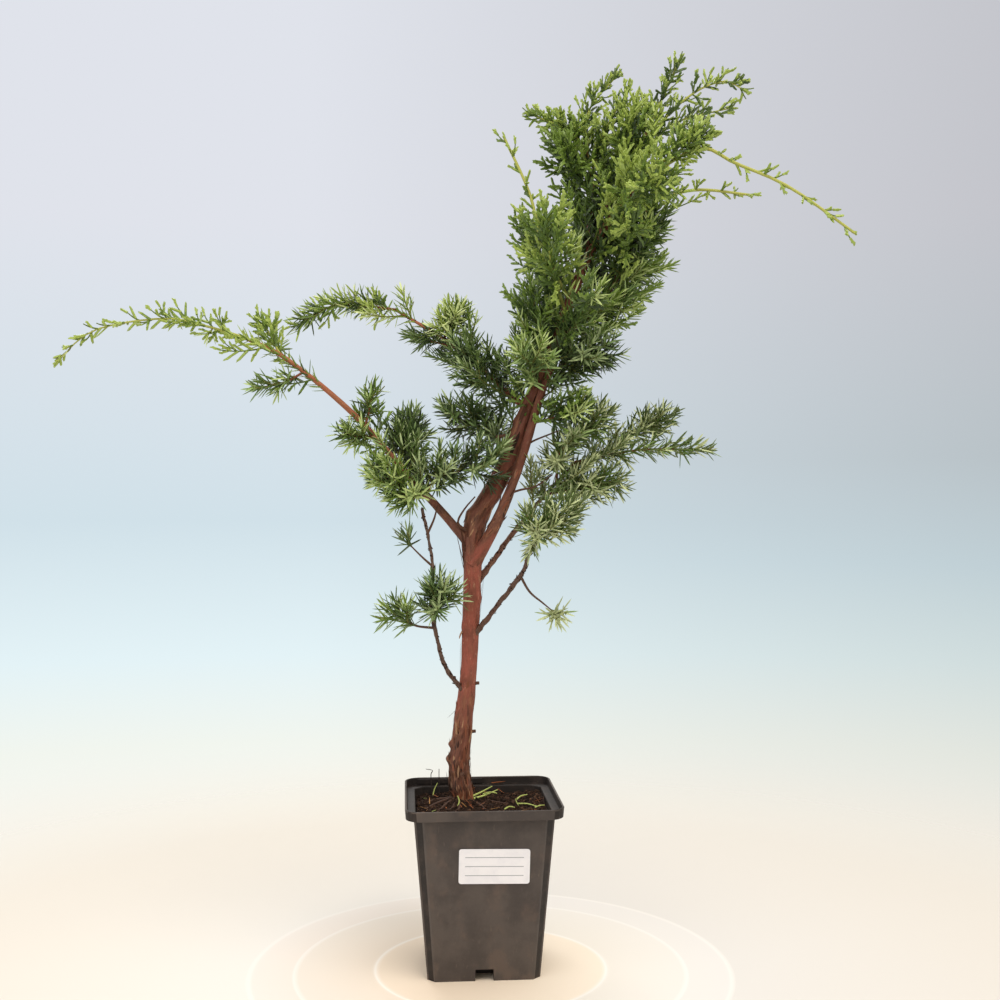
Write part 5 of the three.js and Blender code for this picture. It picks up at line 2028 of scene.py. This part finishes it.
def box_object(name: str, low: Sequence[float], high: Sequence[float], turn: float) -> bpy.types.Object:
    """Make a box, turned about the upright axis through the origin.

    Args:
        name: The object's name.
        low: Its lowest corner.
        high: Its highest corner.
        turn: How far it is turned, in radians.

    Returns:
        The object.
    """
    spans = list(zip(low, high))
    corners = np.array([(x, y, z) for z in spans[2] for y in spans[1] for x in spans[0]])
    cos, sin = math.cos(turn), math.sin(turn)
    points = corners @ np.array([[cos, sin, 0], [-sin, cos, 0], [0, 0, 1]])
    faces = [(0, 2, 3, 1), (4, 5, 7, 6), (0, 1, 5, 4), (2, 6, 7, 3), (0, 4, 6, 2), (1, 3, 7, 5)]
    return make_mesh(name, points, faces, smooth=False)


@dataclass
class PotModel:
    """The moulded plastic pot: a tapered square body, its rim band, inner ledge and drains."""

    wall: float = 1.2
    foot: tuple[float, float] = (32.2, 4.5)
    body: tuple[float, float] = (40.0, 5.8)
    body_height: float = 93.2
    rim: tuple[float, float] = (45.0, 9.0)
    height: float = 99.0
    ledge_height: float = 94.6
    drain: tuple[float, float, float] = (10.3, 6.6, 12.0)
    slot: tuple[float, float, float, float] = (3, 1, 3, 3)
    overlap: float = 0.3
    notch_past: tuple[float, float] = (4, 2)
    step_low: tuple[float, float, float] = (-37, 42.7, 95.2)
    step_high: tuple[float, float, float] = (3.5, 44.2, 98.2)
    edge: float = 0.35
    edge_angle: float = 24
    lip: tuple[tuple[float, float], ...] = ((0.5, 5.75), (0.1, 0.9), (0, 0.5), (0.15, 0.1), (0.5, 0))
    lip_inside: tuple[tuple[float, float, float], ...] = ((1.0, 1.0, 0), (1.25, 1.1, 0.4))
    ledge_round: float = 0.4
    ledge_width: float = 0.3
    rim_clear: float = 0.45
    skin_clear: float = 0.75
    floor_clear: float = 0.6

    def half_width(self, height: float) -> float:
        """Give half the body's outer width at a height."""
        return float(np.interp(height, (0, self.body_height), (self.foot[0], self.body[0])))

    def corner(self, height: float) -> float:
        """Give how much of a side the cut corner takes at a height."""
        return float(np.interp(height, (0, self.body_height), (self.foot[1], self.body[1])))

    def build(self) -> list[bpy.types.Object]:
        """Make the pot: its outside from the foot up, its lip, and its inside down to the floor.

        Returns:
            The piece.
        """
        wall = self.wall
        top = self.body_height
        ledge = self.ledge_height
        half, corner = self.rim
        within = self.half_width(ledge) - wall
        within_corner = self.corner(90)
        rings = [square_ring(self.half_width(z), self.corner(z), z, 0) for z in (0, top)]
        rings += [square_ring(half - inset, corner, self.height - drop, 1) for inset, drop in self.lip]
        rings += [square_ring(half - inset, corner - cut, self.height - drop, 1)
                  for inset, cut, drop in self.lip_inside]
        rings += [
            square_ring(half - wall - self.ledge_round, corner - wall, ledge, 1),
            square_ring(within + self.ledge_width, within_corner, ledge, 0),
            square_ring(within, within_corner, ledge - self.ledge_round, 0),
            square_ring(self.half_width(wall) - wall, self.corner(wall), wall, 0),
        ]
        pot = make_mesh("pot_body", *loft(rings), smooth=False)
        self.cut_drains(pot)
        bevel = pot.modifiers.new("edges", "BEVEL")
        bevel.width = self.edge * MM
        bevel.segments = 2
        bevel.limit_method = "ANGLE"
        bevel.angle_limit = math.radians(self.edge_angle)
        bake_modifiers(pot)
        pot.data.materials.append(POT_PLASTIC.build())
        pot.data.materials.append(POT_INSIDE_SHADED.build())
        # Faces inside the wall, the ledge among them, get the near-black inside finish with its painted shade.
        for face in pot.data.polygons:
            x, y, z = (value / MM for value in face.center)
            skin = self.half_width(z) if z < top else half - self.rim_clear
            inside = max(abs(x), abs(y)) < skin - self.skin_clear and z > self.floor_clear
            face.material_index = int(inside)
        return [place_piece(pot, ["pot"])]

    def cut_drains(self, pot: bpy.types.Object) -> None:
        """Add the four drain housings and the back rim's step to the pot, and cut the notches.

        Args:
            pot: The pot's object, which is changed.
        """
        width, height, depth = self.drain
        slot_half, slot_front, slot_back, slot_rise = self.slot
        wall = self.wall
        face = self.half_width(0)
        middle = -face + depth / 2
        helpers = []
        for quarter in range(4):
            turn = quarter * math.pi / 2
            house = box_object(f"house_{quarter}", (-width / 2 - wall, -face + self.overlap, self.overlap),
                               (width / 2 + wall, -face + depth + wall, height + wall), turn)
            past, below = self.notch_past
            notch = box_object(f"notch_{quarter}", (-width / 2, -face - past, -below),
                               (width / 2, -face + depth, height), turn)
            slot = box_object(f"slot_{quarter}", (-slot_half, middle - slot_front, height - 1),
                              (slot_half, middle + slot_back, height + slot_rise), turn)
            helpers += [("UNION", house), ("DIFFERENCE", notch), ("DIFFERENCE", slot)]
        helpers.append(("UNION", box_object("step", self.step_low, self.step_high, 0)))
        for operation, helper in sorted(helpers, key=lambda pair: pair[0] == "DIFFERENCE"):
            modifier = pot.modifiers.new(helper.name, "BOOLEAN")
            modifier.operation = operation
            modifier.solver = "EXACT"
            modifier.object = helper
        bake_modifiers(pot)
        for _, helper in helpers:
            bpy.data.objects.remove(helper)


# The pot's inside and its ledge: near black and a little glossy, partly clean plastic where no dust lies and
# partly painted shade.
POT_INSIDE_SHADED = PatternFinish(
    name="pot_plastic_inside",
    base="#241e1b",
    layers=(Layer("#3b302a", (8, 8, 8), 0.45, 0.68, 0.7),),
    roughness=(0.5, 0.66),
    relief=0.05,
    relief_scale=(0.8, 0.8, 0.8),
    shine=0.3,
)


# Recycled pot plastic: dark brown-grey and matt, scuffed in faint streaks, dusty in patches.
POT_PLASTIC = PatternFinish(
    name="pot_plastic",
    base="#3f3733",
    layers=(
        Layer("#4f4640", (24, 24, 26), 0.38, 0.62, 0.9),
        Layer("#5f4e43", (12, 12, 16), 0.5, 0.7, 0.45),
        Layer("#6a5a4e", (1.4, 1.4, 5), 0.6, 0.74, 0.3),
        Layer("#85746a", (0.5, 0.5, 1.6), 0.68, 0.78, 0.3),
    ),
    roughness=(0.48, 0.66),
    relief=0.06,
    relief_scale=(0.8, 0.8, 0.8),
    shine=0.45,
)


@dataclass
class SoilModel:
    """Peat soil in the pot: an uneven top with crumbs, dead needles, sprigs and thin roots."""

    pot: PotModel
    steps: int = 96
    edge_height: float = 90.0
    crest: float = 93.6
    foot: tuple[float, float] = (-11.0, 11.0)
    floor: float = 8.4
    inset: float = 1.6
    mound_reach: float = 22
    heap: tuple[float, float, float, float, float] = (40, 12, 10, 24, 3.4)
    lumps: tuple[tuple[float, float, float], ...] = ((9, 2.5, 1.3), (3.2, 7, 0.6), (1.1, 4, 0.3))
    crumbs: int = 4200
    crumb_seeds: tuple[int, int] = (40, 41)
    crumb_size: tuple[float, float] = (0.28, 1.9)
    crumb_rise: float = 0.25
    crumb_extent: tuple[float, float] = (0.6, 1.25)
    crumb_colours: tuple[str, ...] = ("#33251d", "#261b16", "#453228", "#5c4435")
    crumb_shares: tuple[float, ...] = (0.4, 0.34, 0.2, 0.06)
    dead_needles: int = 60
    litter_seeds: tuple[int, int] = (51, 52)
    litter_colours: tuple[str, ...] = ("#9c5c38", "#6b4129", "#a87c4c", "#a9b468")
    litter_shares: tuple[float, ...] = (0.5, 0.25, 0.2, 0.05)
    litter_length: tuple[float, float] = (3.5, 8)
    litter_width: tuple[float, float] = (0.6, 1.1)
    litter_rise: float = 0.45
    bark_bit: tuple[float, float, float] = (9, 41.0, 95.6)
    bark_bit_aim: tuple[float, float, float] = (1, 0.05, 0.05)
    bark_bit_size: tuple[float, float] = (9, 1.8)
    root_radii: tuple[float, float] = (1.0, 0.35)
    sprig_radii: tuple[float, float] = (0.5, 0.3)
    stout_sprigs: int = 2
    stout_radii: tuple[float, float] = (0.8, 0.3)
    stalk_radii: tuple[float, float] = (0.28, 0.2)
    strand_colours: tuple[str, ...] = ("#4b352a", "#b4bf6c", "#3a302b")
    roots: tuple[tuple[tuple[float, float], ...], ...] = (
        ((-15, 8), (-21, -2), (-27, -14), (-31, -26)),
        ((-14, 6), (-17, -6), (-22, -18), (-24, -30)),
        ((-16, 9), (-25, 3), (-33, -5), (-35, -16)),
        ((-13, 5), (-13, -8), (-17, -20), (-18, -31)),
        ((-17, 11), (-27, 9), (-35, 4)),
        ((-6, 6), (0, -4), (2, -15)),
        ((-5, 12), (6, 10), (15, 3)),
    )
    sprigs: tuple[tuple[tuple[float, float, float], ...], ...] = (
        ((-6, 11, 94), (0, 15, 95.5), (8, 21, 98)),
        ((-4, 7, 94), (3, 11, 95), (11, 16, 97)),
        ((2, 12, 95.5), (6, 10, 97), (10, 9, 96.5)),
        ((-28, 25, 91), (-27, 27, 95), (-25, 28, 99)),
        ((-14, -4, 92), (-13, -3, 95), (-14, -2, 98)),
        ((22, 11, 92), (25, 14, 93.5), (29, 17, 93.5)),
        ((22, -1, 92.5), (27, -4, 93), (32, -8, 92.5)),
        ((31, -9, 92), (34, -8, 92.8), (37, -6, 92.5)),
        ((13, -12, 92), (16, -10, 93), (19, -10, 92.5)),
    )
    stalks: tuple[tuple[tuple[float, float, float], ...], ...] = (
        ((-28, 30, 92), (-29, 31, 103), (-28, 31, 106), (-32, 31, 107)),
        ((-24, 30, 92), (-24, 31, 100), (-24, 31, 107)),
    )

    def half_width(self, height: float) -> float:
        """Give half the soil's width at a height."""
        return self.pot.half_width(height) - self.inset

    def top(self, x: float, y: float) -> float:
        """Give the height of the soil's top at a place.

        Args:
            x: The place from left to right.
            y: The place from front to back.

        Returns:
            The height.
        """
        away = math.hypot(x - self.foot[0], y - self.foot[1])
        mound = (self.crest - self.edge_height) * math.exp(-((away / self.mound_reach) ** 2))
        middle_x, middle_y, wide, deep, high = self.heap
        heap = high * math.exp(-(((x - middle_x) / wide) ** 2 + ((y - middle_y) / deep) ** 2))
        lumps = sum(noise_at((x, y, 0), (size, size, 1), (0, 0, shift)) * rise
                    for size, shift, rise in self.lumps)
        return self.edge_height + mound + heap + lumps

    def build(self) -> list[bpy.types.Object]:
        """Make the soil, its crumbs and its litter."""
        return [self.bed(), self.crumb_piece(), *self.litter()]

    def bed(self) -> bpy.types.Object:
        """Make the closed body of the soil with its uneven top.

        Returns:
            The piece.
        """
        n = self.steps
        half = self.half_width(self.edge_height)
        cut = self.pot.corner(self.edge_height)
        line = np.linspace(-half, half, n + 1)
        points = []
        for y in line:
            for x in line:
                over = abs(x) + abs(y) - (2 * half - cut)
                pull = max(over, 0) / 2
                px, py = x - math.copysign(pull, x), y - math.copysign(pull, y)
                points.append((px, py, self.top(px, py)))
        faces: list[Sequence[int]] = []
        for j in range(n):
            for i in range(n):
                a = j * (n + 1) + i
                faces.append((a, a + 1, a + n + 2, a + n + 1))
        rim = [*range(n + 1), *((j + 1) * (n + 1) + n for j in range(n)),
               *(n * (n + 1) + n - 1 - i for i in range(n)), *((n - 1 - j) * (n + 1) for j in range(n - 1))]
        shrink = self.half_width(self.floor) / half
        start = len(points)
        for index in rim:
            x, y, _ = points[index]
            points.append((x * shrink, y * shrink, self.floor))
        count = len(rim)
        for k in range(count):
            a, b = rim[k], rim[(k + 1) % count]
            faces.append((b, a, start + k, start + (k + 1) % count))
        faces.append(tuple(start + k for k in reversed(range(count))))
        piece = make_mesh("soil_bed", np.array(points), faces)
        piece.data.materials.append(PEAT_SOIL.build())
        return place_piece(piece, ["soil"])

    def spots(self, count: int, seed: int, margin: float) -> np.ndarray:
        """Choose places on the soil's top.

        Args:
            count: How many are wanted.
            seed: The seed of their random numbers.
            margin: How far they stay off the soil's edge.

        Returns:
            Rows of points.
        """
        rng = np.random.default_rng(seed)
        half = self.half_width(self.edge_height) - margin
        cut = self.pot.corner(self.edge_height)
        found = rng.uniform(-half, half, (count * 2, 2))
        found = found[np.abs(found).sum(axis=1) < 2 * half - cut][:count]
        return np.array([(x, y, self.top(x, y)) for x, y in found])

    def crumb_piece(self) -> bpy.types.Object:
        """Strew crumbs over the soil, most of them small.

        Returns:
            The piece.
        """
        rng = np.random.default_rng(self.crumb_seeds[1])
        spots = self.spots(self.crumbs, self.crumb_seeds[0], 1.0)
        count = len(spots)
        small, most = self.crumb_size
        size = np.minimum(small + rng.exponential(small, count), most)
        spots[:, 2] += size * self.crumb_rise
        extent = size[:, None] * rng.uniform(*self.crumb_extent, (count, 3))
        spin = rng.uniform(0, 2 * math.pi, (count, 3))
        colours = rng.choice(len(self.crumb_shares), count, p=self.crumb_shares)
        piece = make_mesh("soil_crumbs", spots, [], smooth=False)
        set_attribute(piece.data, "extent", "FLOAT_VECTOR", extent * MM)
        set_attribute(piece.data, "spin", "FLOAT_VECTOR", spin)
        set_attribute(piece.data, "finish", "INT", colours)
        finishes = plain_finishes("crumb", self.crumb_colours, 0.95, 0.1)
        tree = CrumbTree("crumbs", {"Detail": 1, "Dent scale": 1.6, "Dent depth": 0.9}, finishes)
        return place_piece(tree.apply(piece), ["soil"])

    def litter(self) -> list[bpy.types.Object]:
        """Strew dead needles and one bit of bark, and lay thin roots, green sprigs and dry stalks.

        Returns:
            The pieces.
        """
        rng = np.random.default_rng(self.litter_seeds[1])
        spots = self.spots(self.dead_needles, self.litter_seeds[0], 2.0)
        count = len(spots)
        turn = rng.uniform(0, 2 * math.pi, count)
        rise = np.abs(rng.normal(0, self.litter_rise, count))
        aim = unit(np.stack([np.cos(turn), np.sin(turn), rise], axis=1))
        aim = np.vstack([aim, [self.bark_bit_aim]])
        rows = {
            "foot": np.vstack([spots + UP * 0.5, [self.bark_bit]]),
            "aim": aim,
            "upper": square_to(UP, aim),
            "size": np.append(rng.uniform(*self.litter_length, count), self.bark_bit_size[0]),
            "wide": np.append(rng.uniform(*self.litter_width, count), self.bark_bit_size[1]),
            "finish": np.append(rng.choice(len(self.litter_shares), count, p=self.litter_shares), 0),
        }
        finishes = plain_finishes("litter", self.litter_colours, 0.8, 0.2)
        shape = {"Sides": 3, "Steps": 2, "Flatness": 0.4, "Fullness": 3.0, "Bluntness": 0.8,
                 "Arch": 0.5, "Shoulder": 0.6, "Two faces": 0.0}
        piece = sliver_points("litter_needles", rows)
        needles = place_piece(SliverTree("litter", shape, finishes).apply(piece), ["soil"])
        return [needles, self.strands()]

    def strands(self) -> bpy.types.Object:
        """Lay the roots, sprigs and stalks.

        Returns:
            The piece.
        """
        on_soil = [tuple((x, y, self.top(x, y) + 0.3) for x, y in route) for route in self.roots]
        routes = [(route, 0, self.root_radii) for route in on_soil]
        routes += [(route, 1, self.stout_radii) for route in self.sprigs[: self.stout_sprigs]]
        routes += [(route, 1, self.sprig_radii) for route in self.sprigs[self.stout_sprigs :]]
        routes += [(route, 2, self.stalk_radii) for route in self.stalks]
        twigs = [bare_twig(route, 12, radii) for route, _, radii in routes]
        finishes = plain_finishes("strand", self.strand_colours, 0.75, 0.25)
        piece = twig_runs("litter_strands", twigs, [skin for _, skin, _ in routes])
        return place_piece(TwigTree("strands", {"Sides": 6}, finishes).apply(piece), ["soil"])


# Damp peat: dark brown, with paler dry specks.
PEAT_SOIL = PatternFinish(
    name="peat_soil",
    base="#2c201a",
    layers=(
        Layer("#412f26", (4, 4, 4), 0.42, 0.62, 0.8),
        Layer("#1c1511", (1.6, 1.6, 1.6), 0.55, 0.68, 0.8),
        Layer("#5c4739", (0.9, 0.9, 0.9), 0.68, 0.78, 0.4),
    ),
    roughness=(0.85, 1.0),
    relief=0.5,
    relief_scale=(1.2, 1.2, 1.2),
    shine=0.1,
)


@dataclass
class LabelModel:
    """The paper label on the pot's front, blank but for ruled lines."""

    pot: PotModel
    size: tuple[float, float] = (40.0, 20.0)
    thickness: float = 0.3
    corner: float = 1.5
    place: tuple[float, float] = (5.2, 66.4)
    turn: float = -1.0
    lines: tuple[float, ...] = (5.2, 0.0, -5.2)
    line_size: tuple[float, float] = (33.0, 0.35)
    line_corner: float = 0.1
    line_thickness: float = 0.03
    corner_steps: int = 5
    off_wall: float = 0.3

    def build(self) -> list[bpy.types.Object]:
        """Make the label and its ruled lines.

        Returns:
            The pieces.
        """
        paper = self.plate("label_paper", self.size, self.corner, 0.0, self.thickness, (0.0, 0.0))
        paper.data.materials.append(LABEL_PAPER.build())
        made = [place_piece(paper, ["label"])]
        for number, height in enumerate(self.lines):
            line = self.plate(f"label_line_{number}", self.line_size, self.line_corner, self.thickness,
                              self.line_thickness, (0.0, height))
            line.data.materials.append(PlainFinish("grey_ink", "#8f9296", 0.7, 0.2).build())
            made.append(place_piece(line, ["label"]))
        return made

    def plate(self, name: str, size: tuple[float, float], corner: float, lift: float, thickness: float,
              shift: tuple[float, float]) -> bpy.types.Object:
        """Make a thin plate with round corners that lies on the pot's leaning front.

        Args:
            name: The object's name.
            size: Its width and height.
            corner: The radius of its corners.
            lift: How far its back stands off the label's own back.
            thickness: Its thickness.
            shift: Its centre on the label.

        Returns:
            The object.
        """
        outline = []
        for quarter, (sx, sy) in enumerate(((1, 1), (-1, 1), (-1, -1), (1, -1))):
            for i in range(self.corner_steps + 1):
                angle = quarter * math.pi / 2 + i / self.corner_steps * math.pi / 2
                outline.append((sx * (size[0] / 2 - corner) + corner * math.cos(angle) + shift[0],
                                sy * (size[1] / 2 - corner) + corner * math.sin(angle) + shift[1]))
        flat = np.array(outline)
        angle = math.radians(self.turn)
        flat = flat @ np.array([[math.cos(angle), math.sin(angle)], [-math.sin(angle), math.cos(angle)]])
        lean = math.atan2(self.pot.body[0] - self.pot.foot[0], self.pot.body_height)
        face = -self.pot.half_width(self.place[1]) - self.off_wall
        rings = []
        for depth in (lift, lift + thickness):
            y = face - np.full(len(flat), depth) * math.cos(lean) - flat[:, 1] * math.sin(lean)
            z = self.place[1] + flat[:, 1] * math.cos(lean) - depth * math.sin(lean)
            rings.append(np.stack([flat[:, 0] + self.place[0], y, z], axis=1))
        points, faces = loft(rings)
        return make_mesh(name, points, faces, smooth=False)


# Label paper: a cool white with a faint even tooth.
LABEL_PAPER = PatternFinish(
    name="label_paper",
    base="#eceaec",
    layers=(Layer("#dedde2", (9, 9, 9), 0.4, 0.7, 0.6),),
    roughness=(0.5, 0.62),
    relief=0.02,
    relief_scale=(0.3, 0.3, 0.3),
)


def graded(
    tree: bpy.types.NodeTree,
    along: bpy.types.NodeSocket,
    across: bpy.types.NodeSocket,
    sides: Sequence[Sequence[tuple[float, str]]],
) -> bpy.types.NodeSocket:
    """Grade two rows of colours one way and mix them the other way.

    Args:
        tree: The node tree.
        along: The share that runs along the rows.
        across: The share that runs from the first row to the second.
        sides: The two rows, as stops of share and colour.

    Returns:
        The socket of the colour.
    """
    colours = []
    for stops in sides:
        colour = add_node(tree, "ShaderNodeValToRGB", Fac=along)
        points = colour.node.color_ramp.elements
        points[0].position, points[0].color = stops[0][0], linear(stops[0][1])
        points[1].position, points[1].color = stops[-1][0], linear(stops[-1][1])
        for position, shade in stops[1:-1]:
            points.new(position).color = linear(shade)
        colours.append(colour)
    return add_node(tree, "ShaderNodeMix", {"data_type": "RGBA"}, output=2, in_0=across,
                    in_6=colours[0], in_7=colours[1])


@dataclass
class Studio:
    """The camera, soft lights, pale floor and backdrop of the photograph."""

    lens: float = 45.7
    sensor: float = 36
    eye: tuple[float, float, float] = (-0.0451, -0.7487, 0.272)
    turn: float = -4.3
    floor_radius: float = 0.9
    floor_solid: float = 0.25
    disc_centre: tuple[float, float, float] = (0.005, -0.01, 0.0)
    disc_span: float = 0.35
    # The floor's rings on its left and right halves. Near the pot the left half is warm and darker as painted
    # shadow of the pot, and the right half is lighter as painted light. Further out, the left half is painted
    # lighter.
    disc_shaded_left: tuple[tuple[float, str], ...] = (
        (0.0, "#e6d2ba"), (0.186, "#ebdac5"), (0.191, "#f6efe6"), (0.196, "#e8dac9"), (0.318, "#e6ddd2"),
        (0.323, "#f0ebe5"), (0.328, "#e8dfd6"), (0.39, "#e8e1da"), (0.396, "#efebe6"), (0.402, "#e8e4de"),
        (1.0, "#e1d9cd"),
    )
    disc_lit_right: tuple[tuple[float, str], ...] = (
        (0.0, "#f6e7d2"), (0.186, "#f5e8d6"), (0.191, "#f8f4ee"), (0.196, "#ebe6dd"), (0.318, "#e8e4de"),
        (0.323, "#f0eeea"), (0.328, "#e6e3df"), (0.39, "#e4e1de"), (0.396, "#eeebe7"), (0.402, "#dfdcd8"),
        (1.0, "#ddd8d0"),
    )

    backdrop_left: tuple[tuple[float, str], ...] = (
        (0.1, "#fdf6eb"), (0.2, "#f9f8f1"), (0.27, "#f2f6ef"), (0.35, "#e4f3f7"), (0.48, "#d1e1e9"),
        (0.76, "#e0e3eb"),
    )
    backdrop_right: tuple[tuple[float, str], ...] = (
        (0.1, "#f5eadc"), (0.2, "#efece3"), (0.27, "#e2e5de"), (0.35, "#d0dcdc"), (0.44, "#bfced4"),
        (0.54, "#b8c1c6"), (0.76, "#c2c3c9"),
    )
    backdrop_rise: float = 0.4
    backdrop_across: tuple[float, float] = (-0.07, 0.46)
    light_colour: str = "#f6f1e8"
    light_strength: float = 0.75
    floor_sides: int = 96
    floor_roughness: float = 0.7
    disc_blend: float = 0.05
    look_at: tuple[float, float, float] = (0.02, 0, 0.3)

    def build(self) -> None:
        """Set up the studio."""
        self.camera()
        self.world()
        self.floor()
        self.lamp("key", (0.45, -0.75, 1.6), 1.1, 17, "#fff7ee")
        self.lamp("fill", (-1.1, -0.9, 0.7), 1.2, 6, "#eef4ff")
        self.lamp("back", (-0.3, 1.2, 1.3), 0.9, 9, "#ffffff")
        bpy.context.scene.view_settings.view_transform = "Standard"

    def camera(self) -> None:
        """Set the camera where the photograph was taken."""
        camera = bpy.data.cameras.new("camera")
        camera.lens = self.lens
        camera.sensor_width = self.sensor
        holder = bpy.data.objects.new("camera", camera)
        holder.location = self.eye
        holder.rotation_euler = Euler((math.radians(90), 0, math.radians(self.turn)))
        bpy.context.scene.collection.objects.link(holder)
        bpy.context.scene.camera = holder

    def world(self) -> None:
        """Light the object evenly with a plain colour, and show the camera the backdrop's gradient."""
        world = bpy.data.worlds.new("studio")
        world.use_nodes = True
        tree = world.node_tree
        tree.nodes.clear()
        node = partial(add_node, tree)
        direction = node("ShaderNodeTexCoord", output="Generated")
        x, _, z = node("ShaderNodeSeparateXYZ", in_0=direction).node.outputs
        rise = node("ShaderNodeMapRange", Value=z, From_Min=-self.backdrop_rise, From_Max=self.backdrop_rise)
        across = node("ShaderNodeMapRange", Value=x, From_Min=self.backdrop_across[0],
                      From_Max=self.backdrop_across[1])
        backdrop = graded(tree, rise, across, (self.backdrop_left, self.backdrop_right))
        seen = node("ShaderNodeBackground", Color=backdrop, Strength=1.0)
        light = node("ShaderNodeBackground", Color=linear(self.light_colour), Strength=self.light_strength)
        path = node("ShaderNodeLightPath", output="Is Camera Ray")
        mixed = node("ShaderNodeMixShader", in_0=path, in_1=light, in_2=seen)
        node("ShaderNodeOutputWorld", Surface=mixed)
        bpy.context.scene.world = world

    def floor(self) -> None:
        """Lay a pale floor with the soft rings of colour round the pot, that fades into the backdrop, with
        painted light and shade on its two halves.
        """
        sides = self.floor_sides
        angle = np.arange(sides) / sides * 2 * math.pi
        rim = np.stack([np.cos(angle), np.sin(angle), angle * 0], axis=1) * self.floor_radius / MM
        points = np.vstack([[[0, 0, 0]], rim])
        faces = [(0, i + 1, (i + 1) % sides + 1) for i in range(sides)]
        floor = make_mesh("floor", points, faces)
        material = bpy.data.materials.new("pale_floor")
        material.use_nodes = True
        tree = material.node_tree
        node = partial(add_node, tree)
        shader = tree.nodes["Principled BSDF"]
        shader.inputs["Roughness"].default_value = self.floor_roughness
        place = node("ShaderNodeTexCoord", output="Object")
        moved = node("ShaderNodeVectorMath", {"operation": "SUBTRACT"}, in_0=place, in_1=self.disc_centre)
        away = node("ShaderNodeVectorMath", {"operation": "LENGTH"}, output="Value", in_0=moved)
        rings = node("ShaderNodeMapRange", Value=away, From_Min=0.0, From_Max=self.disc_span)
        # The left and right halves, blended across the middle, carry the floor's painted light and shade.
        across = node("ShaderNodeSeparateXYZ", output="X", in_0=moved)
        side = node("ShaderNodeMapRange", {"interpolation_type": "SMOOTHSTEP"}, Value=across,
                    From_Min=-self.disc_blend, From_Max=self.disc_blend)
        colour = graded(tree, rings, side, (self.disc_shaded_left, self.disc_lit_right))
        tree.links.new(colour, shader.inputs["Base Color"])
        solid = node("ShaderNodeMapRange", {"interpolation_type": "SMOOTHSTEP"}, Value=away,
                     From_Min=self.floor_solid * 0.5, From_Max=self.floor_radius * 0.8,
                     To_Min=1.0, To_Max=0.0)
        tree.links.new(solid, shader.inputs["Alpha"])
        floor.data.materials.append(material)

    def lamp(self, name: str, place: tuple[float, float, float], size: float, power: float,
             colour: str) -> None:
        """Hang a soft light that looks at the plant.

        Args:
            name: The light's name.
            place: Where it hangs, in metres.
            size: How wide it is, in metres.
            power: Its power in watts.
            colour: Its colour.
        """
        light = bpy.data.lights.new(name, "AREA")
        light.size = size
        light.energy = power
        light.color = linear(colour)[:3]
        lamp = bpy.data.objects.new(name, light)
        lamp.location = place
        lamp.rotation_euler = (Vector(self.look_at) - Vector(place)).to_track_quat("-Z", "Y").to_euler()
        bpy.context.scene.collection.objects.link(lamp)


def main() -> None:
    """Build the bonsai and its studio."""
    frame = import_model()
    log.info("nodes: %d", len(frame["nodes"]))
    skeleton = Skeleton()
    canopy = Canopy(skeleton)
    canopy.grow()
    pot = PotModel()
    for model in (FoliageModel(canopy), BarkModel(skeleton), pot, SoilModel(pot), LabelModel(pot)):
        pieces = model.build()
        log.info("%s: %s", type(model).__name__, ", ".join(piece.name for piece in pieces))
    Studio().build()
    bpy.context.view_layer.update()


if __name__ == "__main__":
    main()
